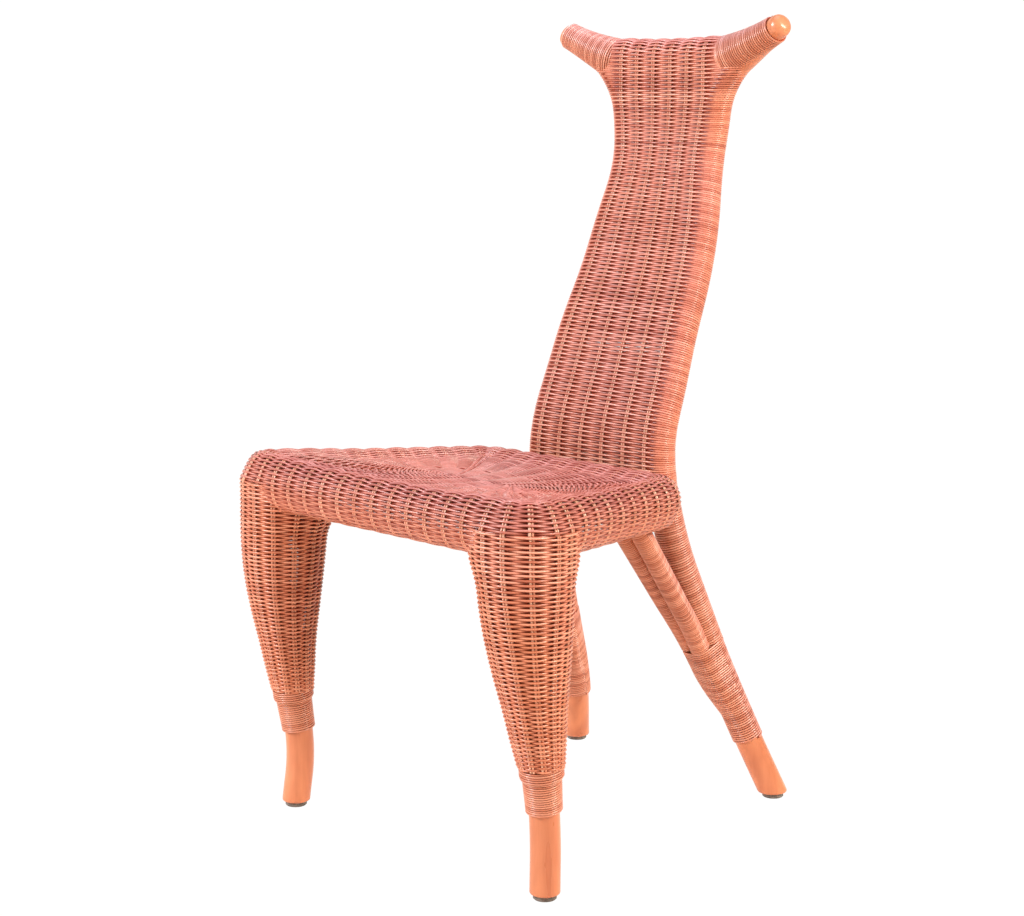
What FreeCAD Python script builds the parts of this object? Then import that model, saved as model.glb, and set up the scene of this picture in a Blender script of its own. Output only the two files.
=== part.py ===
import FreeCAD, Part
import math
import os

os.makedirs("parts", exist_ok=True)
Vec = FreeCAD.Vector
UP = Vec(0, 0, 1)

# Pole stock, in millimetres
POST_DIAMETER = 35.0
LEG_DIAMETER = 35.0
RAIL_DIAMETER = 24.0
CROSS_RAIL_DIAMETER = 24.0
BACK_RAIL_DIAMETER = 25.0
BRACE_DIAMETER = 20.0
DOWEL_DIAMETER = 8.0
DOWEL_LENGTH = 40.0

# Reed and woven skin
WEAVE_WALL = 7.0
BACK_WRAP_WALL = 3.8
POLE_WRAP_WALL = 2.2
REED_GAP = 0.65
FIT = 0.3
DOWEL_FIT = 0.1

# Feet on the floor, between pole centres
FRONT_FOOT_SPREAD = 449.0
REAR_FOOT_SPREAD = 356.0
FOOT_DEPTH = 464.5
GLIDE_DIAMETER = 27.0
GLIDE_HEIGHT = 6.0
GLIDE_STEM_DIAMETER = 5.0
GLIDE_STEM_LENGTH = 18.0
GLIDE_EDGE = 1.2
FOOT_EDGE = 2.5

# Seat: a rounded trapezoid with a rolled rim and a dished top, sloping to the back
SEAT_HEIGHT = 458.0
SEAT_SLOPE = 3.2
SEAT_OVERHANG = 75.0
SEAT_DEPTH = 375.0
SEAT_FRONT_WIDTH = 534.0
SEAT_REAR_WIDTH = 380.0
FRONT_CORNER_RADIUS = 55.0
REAR_CORNER_RADIUS = 60.0
RIM_HEIGHT = 65.0
ROLL_DEPTH = 24.0
RIM_RETURN = 6.0
DISH_DEPTH = 11.0
DISH_SHOULDER = 26.0
RAIL_INSET = 24.5
RAIL_ROOM = 1.0
FRONT_CROSS_RAIL_SETBACK = 119.0
REAR_CROSS_RAIL_SETBACK = 275.0

# Back posts: a rear leg below the seat, a raked back above it and a horn on top
POST_SPREAD_AT_SEAT = 198.0
POST_SETBACK = 397.0
WAIST_SPREAD = 139.0
NECK_LENGTH = 98.0
BACK_RAKE = 124.0
HORN_SPAN = 378.0
HORN_BEND_RADIUS = 100.0
HORN_RISE_ANGLE = 30.0
HORN_FORWARD_SWEEP = 10.0
HORN_BACK_LEAN = 2.0
HORN_NECK_RISE = 11.7
HORN_TIP_DIAMETER = 28.0
KNOB_DOME = 10.0
SHORT_KNOB_DOME = 3.5

# Bends, as shares of the way (down the leg, up the back) with the shares of
# the spread and of the sweep that are used up there
REAR_LEG_BENDS = ((0.185, 0.09, 0.08), (0.47, 0.31, 0.375), (0.82, 0.69, 0.804))
BACK_BENDS = ((0.295, 0.22, 0.275), (0.64, 0.58, 0.72))

# Front leg pole: bends as sideways, forward and height offsets from its foot
FRONT_LEG_BENDS = ((-4.7, 5.0, 70.0), (-2.5, -4.0, 155.0), (1.5, -24.0, 300.0))
LEG_TOP_DIRECTION = -38.0
LEG_TOP_CLEARANCE = 4.5

# Woven back
BACK_FOOT_DROP = 30.0
BACK_LOWER_RAIL_DROP = 6.0
BACK_TOP_RAIL_HEIGHT = 936.0
BACK_TOP_ROLL = 23.0
TOP_RAIL_JOINT_DROP = 11.7
BACK_CORNER_SPREAD = 194.0

# Horn wraps
HORN_WRAP_TURNS = 24
HORN_BASE_SPREAD = 200.0
HORN_BASE_DROP = 4.0
HORN_BASE_DIAMETER = 58.0
KNOB_LENGTH = 17.0
SHORT_KNOB_LENGTH = 5.0

# Front leg sleeves and their ankle bindings
ANKLE_BINDING_FOOT = 98.0
ANKLE_BINDING_TOP = 150.0
ANKLE_BINDING_TURNS = 17
ANKLE_FLARE = 3.4
SLEEVE_ANKLE_DIAMETER = 51.0
SLEEVE_PROUD = 0.8
SLEEVE_BULGE = 2.0
SLEEVE_SWELL = 1.15
SLEEVE_REACH = 24.0
COLLAR_LENGTH = 36.0

# Stakes: the ribs that the weave stands on, and how many each run of the seat's edge has
STAKE_WIDTH = 6.4
STAKE_RISE = 2.6
FRONT_STAKES = 14
FRONT_CORNER_STAKES = 3
SIDE_STAKES = 9
REAR_CORNER_STAKES = 2
REAR_STAKES = 8
LEG_STAKE_CLEARANCE = 45.0
DISH_STAKE_REACH = 0.54
DISH_STAKE_WIDTH = 5.2
DISH_STAKE_RISE = 2.1
BACK_STAKES = (-1.0, -0.61, -0.205, 0.205, 0.61, 1.0)
BACK_STAKE_SPLAY = 0.75

# Rear leg bindings
REAR_BINDING_FOOT = 80.0
REAR_BINDING_TOP = 208.0
REAR_BINDING_DIAMETER = 52.5
REAR_BINDING_SHIFT = (-3.0, -6.0)

# Braces: places on the rear leg (from the post's centre) and on the rails above
BRACE_FOOT_HEIGHT = 150.0
BRACE_BEND_HEIGHT = 207.0
OUTER_BRACE_FOOT = (6.0, -15.0)
OUTER_BRACE_BEND = (4.0, -19.0)
OUTER_BRACE_TOP = (-25.6, 11.1, -10.7)
INNER_BRACE_FOOT = (-15.0, -12.5)
INNER_BRACE_BEND = (-17.0, -16.5)
INNER_BRACE_TOP = (-53.6, 8.1, -12.7)
BRACE_STRAIGHTENING = 0.4

# Sampling of centre lines, and turns of a wound reed in quarters
LINE_SAMPLES = 600
RAIL_END_SAMPLES = 30
QUARTERS = 4

# Heights and depths that follow from these
WAIST_HEIGHT = BACK_TOP_RAIL_HEIGHT - NECK_LENGTH
BACK_WEAVE_FOOT = SEAT_HEIGHT - BACK_FOOT_DROP
BACK_WEAVE_TOP = BACK_TOP_RAIL_HEIGHT + BACK_TOP_ROLL
BACK_LOWER_RAIL_HEIGHT = SEAT_HEIGHT - BACK_LOWER_RAIL_DROP
HORN_BASE_HEIGHT = BACK_TOP_RAIL_HEIGHT - HORN_BASE_DROP
SEAT_FRONT = -SEAT_OVERHANG
SEAT_REAR = SEAT_FRONT + SEAT_DEPTH
SIDES = (("left", 1), ("right", -1))
parts = {}


# Curves made of tangent arcs

def arc_edge(start, heading, end):
    """An arc that leaves start along heading and ends at end, or a line if they are in line."""
    chord = end - start
    along = Vec(chord).normalize()
    aside = heading - along * heading.dot(along)
    if aside.Length < 1e-5:
        return Part.LineSegment(start, end).toShape()
    half_turn = math.atan2(aside.Length, heading.dot(along))
    rise = chord.Length / 2 * math.tan(half_turn / 2)
    middle = start + chord * 0.5 + aside.normalize() * rise
    return Part.Arc(start, middle, end).toShape()


def biarc_edges(start, heading, end, end_heading):
    """Two arcs, tangent where they meet, between two points with given headings."""
    chord = end - start
    both = heading + end_heading
    spread = 2 * (1 - heading.dot(end_heading))
    if spread < 1e-9:
        reach = chord.dot(chord) / (4 * chord.dot(end_heading))
    else:
        lean = chord.dot(both)
        reach = (math.sqrt(lean * lean + spread * chord.dot(chord)) - lean) / spread
    middle = (start + end + (heading - end_heading) * reach) * 0.5
    first = arc_edge(start, heading, middle)
    along = Vec(middle - start).normalize()
    turned = along * (2 * heading.dot(along)) - heading
    return [first, arc_edge(middle, turned, end)]


def headings_through(points):
    """The heading at each point, from the circle through it and its neighbours."""
    headings = []
    for before, here, after in zip(points, points[1:], points[2:]):
        back = here - before
        ahead = after - here
        heading = Vec(back).normalize() * ahead.Length + Vec(ahead).normalize() * back.Length
        headings.append(heading.normalize())
    first = Vec(points[1] - points[0]).normalize()
    last = Vec(points[-1] - points[-2]).normalize()
    headings.insert(0, first * (2 * headings[0].dot(first)) - headings[0])
    headings.append(last * (2 * headings[-1].dot(last)) - headings[-1])
    return headings


def curve_through(points, headings=None):
    """A wire of tangent arcs through the points."""
    headings = headings or headings_through(points)
    edges = []
    for index in range(len(points) - 1):
        edges += biarc_edges(points[index], headings[index], points[index + 1], headings[index + 1])
    return Part.Wire(edges)


def tube(path, diameter):
    """A round solid along a path."""
    first = path.OrderedEdges[0]
    start = first.firstVertex(True).Point
    heading = first.tangentAt(first.FirstParameter)
    if first.Orientation == "Reversed":
        heading = first.tangentAt(first.LastParameter) * -1
    section = Part.Wire(Part.makeCircle(diameter / 2, start, heading))
    return path.makePipeShell([section], True, False)


class CentreLine:
    """A pole's centre line, which can be asked for its place and heading at a height."""

    def __init__(self, points, straight_end=False):
        headings = headings_through(points)
        if straight_end:
            headings[-2:] = [Vec(points[-1] - points[-2]).normalize()] * 2
        self.wire = curve_through(points, headings)
        self.samples = self.wire.discretize(Number=LINE_SAMPLES)

    def at_height(self, height):
        for low, high in zip(self.samples, self.samples[1:]):
            if (low.z - height) * (high.z - height) <= 0 and low.z != high.z:
                share = (height - low.z) / (high.z - low.z)
                return low + (high - low) * share, Vec(high - low).normalize()
        raise ValueError("the pole doesn't reach height %.1f" % height)


def slab(low, high):
    """The space between two heights."""
    size = 4 * (SEAT_FRONT_WIDTH + FOOT_DEPTH)
    return Part.makeBox(size, size, high - low, Vec(-size / 2, -size / 2, low))


def cylinder_between(start, end, diameter):
    return Part.makeCylinder(diameter / 2, (end - start).Length, start, end - start)


def mirrored(shape, side):
    """The left side's shape, or its mirror image for the right side."""
    if side > 0:
        return shape
    return shape.mirror(Vec(0, 0, 0), Vec(1, 0, 0))


def add(name, shape):
    solids = shape.Solids
    keep = solids[0] if len(solids) == 1 else Part.makeCompound(solids)
    parts[name] = keep


def largest(shape):
    """The biggest solid of a shape that a cut has left in pieces."""
    return max(shape.Solids, key=lambda solid: solid.Volume)


# The seat's own plane: x and y as on the floor, z up from the middle of the rim

SEAT_PLANE = FreeCAD.Placement(
    Vec(0, 0, SEAT_HEIGHT - RIM_HEIGHT / 2),
    FreeCAD.Rotation(Vec(1, 0, 0), -SEAT_SLOPE),
    Vec(0, SEAT_FRONT + ROLL_DEPTH, 0),
)


def on_seat(x, y, z):
    return SEAT_PLANE.multVec(Vec(x, y, z))


def placed_on_seat(shape):
    moved = shape.copy()
    moved.Placement = SEAT_PLANE
    return moved


FRONT_CORNER = Vec(SEAT_FRONT_WIDTH / 2 - FRONT_CORNER_RADIUS, SEAT_FRONT + FRONT_CORNER_RADIUS, 0)
REAR_CORNER = Vec(SEAT_REAR_WIDTH / 2 - REAR_CORNER_RADIUS, SEAT_REAR - REAR_CORNER_RADIUS, 0)


def side_normal():
    """The outward normal of the straight side that touches both corner circles."""
    run = REAR_CORNER - FRONT_CORNER
    along = Vec(run).normalize()
    across = Vec(along.y, -along.x, 0)
    tilt = (FRONT_CORNER_RADIUS - REAR_CORNER_RADIUS) / run.Length
    return along * tilt + across * math.sqrt(1 - tilt * tilt)


SIDE_NORMAL = side_normal()
SIDE_ANGLE = math.atan2(SIDE_NORMAL.y, SIDE_NORMAL.x)
SIDE_OFFSET = SIDE_NORMAL.dot(FRONT_CORNER) + FRONT_CORNER_RADIUS


def side_x(y, inset):
    """Half the width of the seat at a depth, between its straight sides."""
    return (SIDE_OFFSET - inset - SIDE_NORMAL.y * y) / SIDE_NORMAL.x


def corner_arcs(inset):
    """The left corners of the outline, drawn in by inset: centre, radius and first and last angle."""
    front = (FRONT_CORNER, FRONT_CORNER_RADIUS - inset, -math.pi / 2, SIDE_ANGLE)
    rear = (REAR_CORNER, REAR_CORNER_RADIUS - inset, SIDE_ANGLE, math.pi / 2)
    return front, rear


def seat_outline(inset, z):
    """The seat's outline, drawn in by inset, as eight lines and arcs."""
    corners = []
    for centre, radius, first, last in corner_arcs(inset):
        angles = (first, (first + last) / 2, last)
        corners.append([centre + Vec(radius * math.cos(a), radius * math.sin(a), z) for a in angles])
    front, rear = corners
    flip = [[Vec(-p.x, p.y, p.z) for p in corner] for corner in corners]
    edges = [
        Part.LineSegment(flip[0][0], front[0]),
        Part.Arc(*front),
        Part.LineSegment(front[2], rear[0]),
        Part.Arc(*rear),
        Part.LineSegment(rear[2], flip[1][2]),
        Part.Arc(flip[1][2], flip[1][1], flip[1][0]),
        Part.LineSegment(flip[1][0], flip[0][2]),
        Part.Arc(flip[0][2], flip[0][1], flip[0][0]),
    ]
    return Part.Wire([edge.toShape() for edge in edges])


def rim_points(wall):
    """The rim's section as insets and heights: from its underside, round, over the crest into the dish."""
    points = []
    for angle in range(-90, 91, 30):
        turn = math.radians(angle)
        inset = wall + (ROLL_DEPTH - wall) * (1 - math.cos(turn))
        points.append((inset, (RIM_HEIGHT / 2 - wall) * math.sin(turn)))
    crest = RIM_HEIGHT / 2 - wall
    points.append((ROLL_DEPTH + DISH_SHOULDER * 0.5, crest - DISH_DEPTH * 0.5))
    points.append((ROLL_DEPTH + DISH_SHOULDER, crest - DISH_DEPTH))
    return points


def section_face(outer, inner, start, inward):
    """A face between a curve and a chain of straight points, standing on the outline."""
    def spot(point):
        return start + inward * point[0] + UP * point[1]

    def curve(points):
        spline = Part.BSplineCurve()
        spline.interpolate([spot(point) for point in points])
        return spline.toShape()

    edges = [curve(outer)]
    rest = [outer[-1]] + inner["before"]
    edges += [Part.LineSegment(spot(a), spot(b)).toShape() for a, b in zip(rest, rest[1:])]
    if inner["curve"]:
        edges.append(curve(inner["curve"]))
    rest = inner["after"] + [outer[0]]
    edges += [Part.LineSegment(spot(a), spot(b)).toShape() for a, b in zip(rest, rest[1:])]
    return Part.Face(Part.Wire(edges))


def seat_ring(outer, inner):
    """The rim's section run along the straights and turned round the corners."""
    solids = []
    front, rear = corner_arcs(0)
    for centre, radius, first, last in (front, rear):
        start = Vec(math.cos(first), math.sin(first), 0)
        face = section_face(outer, inner, centre + start * radius, start * -1)
        turned = face.revolve(centre, UP, math.degrees(last - first))
        solids += [turned, mirrored(turned, -1)]
    across = FRONT_CORNER.x
    face = section_face(outer, inner, Vec(-across, SEAT_FRONT, 0), Vec(0, 1, 0))
    solids.append(face.extrude(Vec(2 * across, 0, 0)))
    across = REAR_CORNER.x
    face = section_face(outer, inner, Vec(-across, SEAT_REAR, 0), Vec(0, -1, 0))
    solids.append(face.extrude(Vec(2 * across, 0, 0)))
    start = FRONT_CORNER + SIDE_NORMAL * FRONT_CORNER_RADIUS
    end = REAR_CORNER + SIDE_NORMAL * REAR_CORNER_RADIUS
    straight = section_face(outer, inner, start, SIDE_NORMAL * -1).extrude(end - start)
    return solids + [straight, mirrored(straight, -1)]


def seat_body(grow):
    """The seat as one solid, grown all over."""
    outer = rim_points(-grow)
    low = outer[0][1]
    edge = outer[-1]
    inner = {"before": [(edge[0], low)], "curve": None, "after": [(edge[0], low)]}
    middle = Part.Face(seat_outline(edge[0], low)).extrude(UP * (edge[1] - low))
    return placed_on_seat(fused([middle] + seat_ring(outer, inner)))


def seat_skin():
    """The seat's woven skin: rolled rim with a short return below, and dished top."""
    outer = rim_points(0)
    under = rim_points(WEAVE_WALL)
    lip = outer[0][0] + RIM_RETURN
    inner = {
        "before": [under[-1]],
        "curve": under[::-1],
        "after": [under[0], (lip, under[0][1]), (lip, outer[0][1])],
    }
    middle = Part.Face(seat_outline(under[-1][0], under[-1][1])).extrude(UP * WEAVE_WALL)
    return placed_on_seat(fused([middle] + seat_ring(outer, inner) + seat_stakes()))


# The point of the rim's section where a stake starts: low on its face, half-way up or near its crest
WHOLE_STAKE = 1
UPPER_STAKE = 3
CREST_STAKE = 5


def stake_face(lowest, start, inward):
    """The section of a stake's rib on the rim, from one of the rim's section points up into the dish."""
    outer = rim_points(-STAKE_RISE)[lowest:]
    under = rim_points(WEAVE_WALL / 2)[lowest:]
    inner = {"before": [under[-1]], "curve": under[::-1], "after": [under[0]]}
    return section_face(outer, inner, start, inward)


def dish_stake(edge, inward):
    """A stake that lies on the dish and runs towards its middle."""
    middle = Vec(0, (SEAT_FRONT + SEAT_REAR) / 2, 0)
    level = UP * (RIM_HEIGHT / 2 - DISH_DEPTH + DISH_STAKE_RISE - DISH_STAKE_WIDTH / 2)
    start = edge + inward * (ROLL_DEPTH + DISH_SHOULDER - STAKE_WIDTH / 2)
    end = start + (middle - start) * DISH_STAKE_REACH
    return cylinder_between(start + level, end + level, DISH_STAKE_WIDTH)


def straight_stakes(start, end, inward, count, leg_ends, lowest):
    """Evenly spaced stakes along a straight run of the seat's edge."""
    along = Vec(end - start).normalize()
    stakes = []
    for index in range(count):
        place = start + (end - start) * ((index + 0.5) / count)
        near_leg = any((place - spot).Length < LEG_STAKE_CLEARANCE for spot in leg_ends)
        face = stake_face(UPPER_STAKE if near_leg else lowest, place - along * STAKE_WIDTH / 2, inward)
        stakes += [face.extrude(along * STAKE_WIDTH), dish_stake(place, inward)]
    return stakes


def corner_stakes(corner, count, lowest, into_dish):
    """Evenly spaced stakes round a corner; the tight rear corners have no room for them in the dish."""
    centre, radius, first, last = corner
    half = STAKE_WIDTH / 2 / radius
    stakes = []
    for index in range(count):
        angle = first + (last - first) * (index + 0.5) / count
        way = Vec(math.cos(angle - half), math.sin(angle - half), 0)
        face = stake_face(lowest, centre + way * radius, way * -1)
        stakes.append(face.revolve(centre, UP, math.degrees(2 * half)))
        if into_dish:
            out = Vec(math.cos(angle), math.sin(angle), 0)
            stakes.append(dish_stake(centre + out * radius, out * -1))
    return stakes


def seat_stakes():
    front, rear = corner_arcs(0)
    front_end = Vec(FRONT_CORNER.x, SEAT_FRONT, 0)
    front_start = Vec(-FRONT_CORNER.x, SEAT_FRONT, 0)
    stakes = straight_stakes(
        front_start, front_end, Vec(0, 1, 0), FRONT_STAKES, (front_start, front_end), WHOLE_STAKE)
    rear_end = Vec(REAR_CORNER.x, SEAT_REAR, 0)
    stakes += straight_stakes(
        Vec(-REAR_CORNER.x, SEAT_REAR, 0), rear_end, Vec(0, -1, 0), REAR_STAKES, (), CREST_STAKE)
    side_start = FRONT_CORNER + SIDE_NORMAL * FRONT_CORNER_RADIUS
    side_end = REAR_CORNER + SIDE_NORMAL * REAR_CORNER_RADIUS
    one_side = straight_stakes(
        side_start, side_end, SIDE_NORMAL * -1, SIDE_STAKES, (side_start,), WHOLE_STAKE)
    one_side += corner_stakes(front, FRONT_CORNER_STAKES, UPPER_STAKE, True)
    one_side += corner_stakes(rear, REAR_CORNER_STAKES, WHOLE_STAKE, False)
    return stakes + one_side + [mirrored(stake, -1) for stake in one_side]


def fused(solids):
    return solids[0].multiFuse(solids[1:])


SEAT_CLEAR = seat_body(FIT)


# Centre lines of the left side's poles

def post_points():
    seat = Vec(POST_SPREAD_AT_SEAT / 2, SEAT_FRONT + POST_SETBACK, SEAT_HEIGHT - DISH_DEPTH)
    foot = Vec(REAR_FOOT_SPREAD / 2, FOOT_DEPTH, 0)
    waist = Vec(WAIST_SPREAD / 2, seat.y + BACK_RAKE, WAIST_HEIGHT)
    leg = []
    for way, splay, sweep in reversed(REAR_LEG_BENDS):
        leg.append(Vec(
            seat.x + (foot.x - seat.x) * splay,
            seat.y + (foot.y - seat.y) * sweep,
            seat.z + (foot.z - seat.z) * way,
        ))
    under = foot + Vec(foot - leg[0]).normalize() * POST_DIAMETER / 2
    back = []
    for way, close, rake in BACK_BENDS:
        back.append(Vec(
            seat.x + (waist.x - seat.x) * close,
            seat.y + (waist.y - seat.y) * rake,
            seat.z + (waist.z - seat.z) * way,
        ))
    turn = math.radians(90 - HORN_RISE_ANGLE)
    horn = []
    for angle in (turn / 2, turn):
        horn.append(Vec(
            waist.x + HORN_BEND_RADIUS * (1 - math.cos(angle)),
            waist.y + HORN_BACK_LEAN,
            waist.z + HORN_NECK_RISE + HORN_BEND_RADIUS * math.sin(angle),
        ))
    run = HORN_SPAN / 2 - horn[-1].x
    tip = horn[-1] + Vec(run, -HORN_FORWARD_SWEEP, run * math.tan(math.radians(HORN_RISE_ANGLE)))
    return [under, foot] + leg + [seat] + back + [waist] + horn + [tip]


def front_leg_points():
    foot = Vec(FRONT_FOOT_SPREAD / 2, 0, 0)
    bends = [foot + Vec(*bend) for bend in FRONT_LEG_BENDS]
    under = foot + Vec(foot - bends[0]).normalize() * LEG_DIAMETER / 2
    return [under, foot] + bends + [front_leg_top()]


def front_leg_top():
    """The pole's top, tucked into the seat's front corner under the rolled rim."""
    reach = FRONT_CORNER_RADIUS - WEAVE_WALL - LEG_DIAMETER / 2 - LEG_TOP_CLEARANCE
    angle = math.radians(LEG_TOP_DIRECTION)
    side = FRONT_CORNER + Vec(math.cos(angle), math.sin(angle), 0) * reach
    return on_seat(side.x, side.y, RIM_HEIGHT / 2 - WEAVE_WALL - 2 * LEG_TOP_CLEARANCE)


POST = CentreLine(post_points(), straight_end=True)
FRONT_LEG = CentreLine(front_leg_points())
RAIL_LEVEL = RIM_HEIGHT / 2 - WEAVE_WALL - RAIL_ROOM - RAIL_DIAMETER / 2
CROSS_LEVEL = RIM_HEIGHT / 2 - DISH_DEPTH - WEAVE_WALL - FIT - CROSS_RAIL_DIAMETER / 2


def side_rail_bend():
    """The bent end of the side rail, from the seat's straight side to the post, with its headings."""
    turn = on_seat(side_x(REAR_CORNER.y, RAIL_INSET), REAR_CORNER.y, RAIL_LEVEL)
    post = POST.at_height(turn.z)[0]
    post.z = on_seat(0, post.y, RAIL_LEVEL).z
    chord = Vec(post - turn).normalize()
    along = Vec(turn - side_rail_start()).normalize()
    return [turn, post], [along, chord * (2 * chord.dot(along)) - along]


def side_rail_start():
    y = SEAT_FRONT + FRONT_CORNER_RADIUS - 4 * FIT
    return on_seat(side_x(y, RAIL_INSET), y, RAIL_LEVEL)


RAIL_BEND_POINTS, RAIL_BEND_HEADINGS = side_rail_bend()
SIDE_RAIL = curve_through([side_rail_start()] + RAIL_BEND_POINTS,
                          [RAIL_BEND_HEADINGS[0]] + RAIL_BEND_HEADINGS)
SIDE_RAIL_BEND = curve_through(RAIL_BEND_POINTS, RAIL_BEND_HEADINGS)
RAIL_SAMPLES = SIDE_RAIL.discretize(Number=LINE_SAMPLES)
RAIL_FRONT = RAIL_SAMPLES[0]
RAIL_FRONT_HEADING = RAIL_FRONT - RAIL_SAMPLES[RAIL_END_SAMPLES]
RAIL_REAR = RAIL_SAMPLES[-1]
RAIL_REAR_HEADING = (RAIL_REAR - RAIL_SAMPLES[-RAIL_END_SAMPLES]).normalize()


def side_rail_place(y):
    """The place on the side rail's centre line at a depth."""
    return min(RAIL_SAMPLES, key=lambda place: abs(place.y - y))


FRONT_RAIL_PLACE = on_seat(0, SEAT_FRONT + RAIL_INSET, RAIL_LEVEL)
REAR_RAIL_PLACE = on_seat(0, SEAT_REAR - RAIL_INSET, RAIL_LEVEL)
FRONT_CROSS_PLACE = on_seat(0, SEAT_FRONT + FRONT_CROSS_RAIL_SETBACK, CROSS_LEVEL)
REAR_CROSS_PLACE = on_seat(0, SEAT_FRONT + REAR_CROSS_RAIL_SETBACK, CROSS_LEVEL)


def brace_path(foot, bend, top):
    """A brace lies along the rear leg at its foot, bends away and runs up to where two rails meet."""
    post_foot = POST.at_height(BRACE_FOOT_HEIGHT)[0]
    post_bend = POST.at_height(BRACE_BEND_HEIGHT)[0]
    points = [post_foot + Vec(foot[0], foot[1], 0), post_bend + Vec(bend[0], bend[1], 0)]
    rails = Vec(side_rail_place(REAR_CROSS_PLACE.y).x, REAR_CROSS_PLACE.y, REAR_CROSS_PLACE.z)
    end = rails + Vec(*top)
    return curve_through(points + [points[1] + (end - points[1]) * BRACE_STRAIGHTENING, end])


OUTER_BRACE = brace_path(OUTER_BRACE_FOOT, OUTER_BRACE_BEND, OUTER_BRACE_TOP)
INNER_BRACE = brace_path(INNER_BRACE_FOOT, INNER_BRACE_BEND, INNER_BRACE_TOP)


# Wound reed

def frame_along(line, low, high, share):
    """A place on a pole's centre line with two directions square to it."""
    place, heading = line(low + (high - low) * share)
    across = Vec(0, 1, 0) - heading * heading.y
    across.normalize()
    return place, across, heading.cross(across)


def winding(place_at, radius_at, turns, reed):
    """One unbroken reed wound round a line, with straight ends."""
    def point(quarter):
        share = quarter / (turns * QUARTERS)
        place, across, beside = place_at(share)
        angle = 2 * math.pi * quarter / QUARTERS
        return place + (across * math.cos(angle) + beside * math.sin(angle)) * radius_at(share)

    steps = turns * QUARTERS
    points = [point(step) for step in range(steps + 1)]
    headings = [(point(step + 0.01) - point(step - 0.01)).normalize() for step in range(steps + 1)]
    path = curve_through(points, headings)
    first = Part.LineSegment(points[0] - headings[0] * reed, points[0]).toShape()
    last = Part.LineSegment(points[-1], points[-1] + headings[-1] * reed).toShape()
    whole = Part.Wire([first] + path.OrderedEdges + [last])
    return tube(whole, reed), least_gap(path, turns, reed)


def least_gap(path, turns, reed):
    """The smallest gap between one turn of a reed and the next, measured on points."""
    per_turn = 48
    points = path.discretize(Number=turns * per_turn + 1)
    gap = float("inf")
    for index, here in enumerate(points):
        for other in points[index + per_turn // 2: index + 3 * per_turn // 2]:
            gap = min(gap, (here - other).Length - reed)
    return gap


def ankle_reed():
    return (ANKLE_BINDING_TOP - ANKLE_BINDING_FOOT) / ANKLE_BINDING_TURNS - REED_GAP


def ankle_inner_radius(height):
    """Inside of the ankle binding, which flares over the ends of the sleeve's stakes."""
    share = (height - ANKLE_BINDING_FOOT) / (ANKLE_BINDING_TOP - ANKLE_BINDING_FOOT)
    return LEG_DIAMETER / 2 + FIT + ANKLE_FLARE * share


def ankle_binding():
    low = ANKLE_BINDING_FOOT
    high = ANKLE_BINDING_TOP
    reed = ankle_reed()
    return winding(
        lambda share: frame_along(FRONT_LEG.at_height, low, high, share),
        lambda share: ankle_inner_radius(low + (high - low) * share) + reed / 2,
        ANKLE_BINDING_TURNS, reed)


HORN_END = POST.samples[-1]
HORN_RUN = post_points()[-1] - post_points()[-2]
HORN_HEADING = Vec(HORN_RUN).normalize()
HORN_BASE = Vec(HORN_BASE_SPREAD / 2, SEAT_FRONT + POST_SETBACK + BACK_RAKE, HORN_BASE_HEIGHT)
HORN_WRAP_END = HORN_END - HORN_HEADING * KNOB_LENGTH


def horn_wrap():
    run = HORN_WRAP_END - HORN_BASE
    axis = Vec(run).normalize()
    across = Vec(0, 1, 0) - axis * axis.y
    across.normalize()
    beside = axis.cross(across)
    reed = run.Length / HORN_WRAP_TURNS - REED_GAP
    base = HORN_BASE_DIAMETER / 2 - reed / 2
    end = horn_radius(KNOB_LENGTH) + FIT + reed / 2
    return winding(
        lambda share: (HORN_BASE + run * share, across, beside),
        lambda share: base + (end - base) * share,
        HORN_WRAP_TURNS, reed)


def horn_cone():
    """The space that a horn's wrap fills."""
    run = HORN_WRAP_END - HORN_BASE
    base = HORN_BASE_DIAMETER / 2 + FIT
    return Part.makeCone(base, horn_radius(KNOB_LENGTH) + base / 4, run.Length, HORN_BASE, run)


# Frame pieces of the left side, mirrored for the right

def bore(place, heading, diameter, length):
    return Part.makeCylinder(diameter / 2, length, place, heading)


def dowel_at(place, heading):
    """A dowel centred on a joint, and the bore that takes it."""
    heading = Vec(heading).normalize()
    pin = bore(place - heading * DOWEL_LENGTH / 2, heading, DOWEL_DIAMETER, DOWEL_LENGTH)
    hole = bore(place - heading * (DOWEL_LENGTH / 2 + FIT), heading,
                DOWEL_DIAMETER + 2 * DOWEL_FIT, DOWEL_LENGTH + 2 * FIT)
    return pin, hole


def trimmed_foot(shape):
    """A pole cut level on top of its glide, with its lower edge eased."""
    cut = largest(shape.common(slab(GLIDE_HEIGHT, 2 * BACK_WEAVE_TOP)))
    rim = [edge for edge in cut.Edges if edge.BoundBox.ZMax < GLIDE_HEIGHT + 0.01]
    return cut.makeFillet(FOOT_EDGE, rim)


def glide(place):
    disc = Part.makeCylinder(GLIDE_DIAMETER / 2, GLIDE_HEIGHT, Vec(place.x, place.y, 0))
    lower = [edge for edge in disc.Edges if edge.BoundBox.ZMax < 0.01]
    disc = disc.makeChamfer(GLIDE_EDGE, lower)
    stem = bore(Vec(place.x, place.y, GLIDE_HEIGHT), UP, GLIDE_STEM_DIAMETER, GLIDE_STEM_LENGTH)
    hole = bore(Vec(place.x, place.y, 0), UP, GLIDE_STEM_DIAMETER + 2 * DOWEL_FIT,
                GLIDE_HEIGHT + GLIDE_STEM_LENGTH + FIT)
    return disc.fuse(stem).removeSplitter(), hole


def horn_radius(from_end):
    """The horn's radius at a distance from its end: the pole thins out along its last straight run."""
    return (HORN_TIP_DIAMETER + (POST_DIAMETER - HORN_TIP_DIAMETER) * from_end / HORN_RUN.Length) / 2


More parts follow.
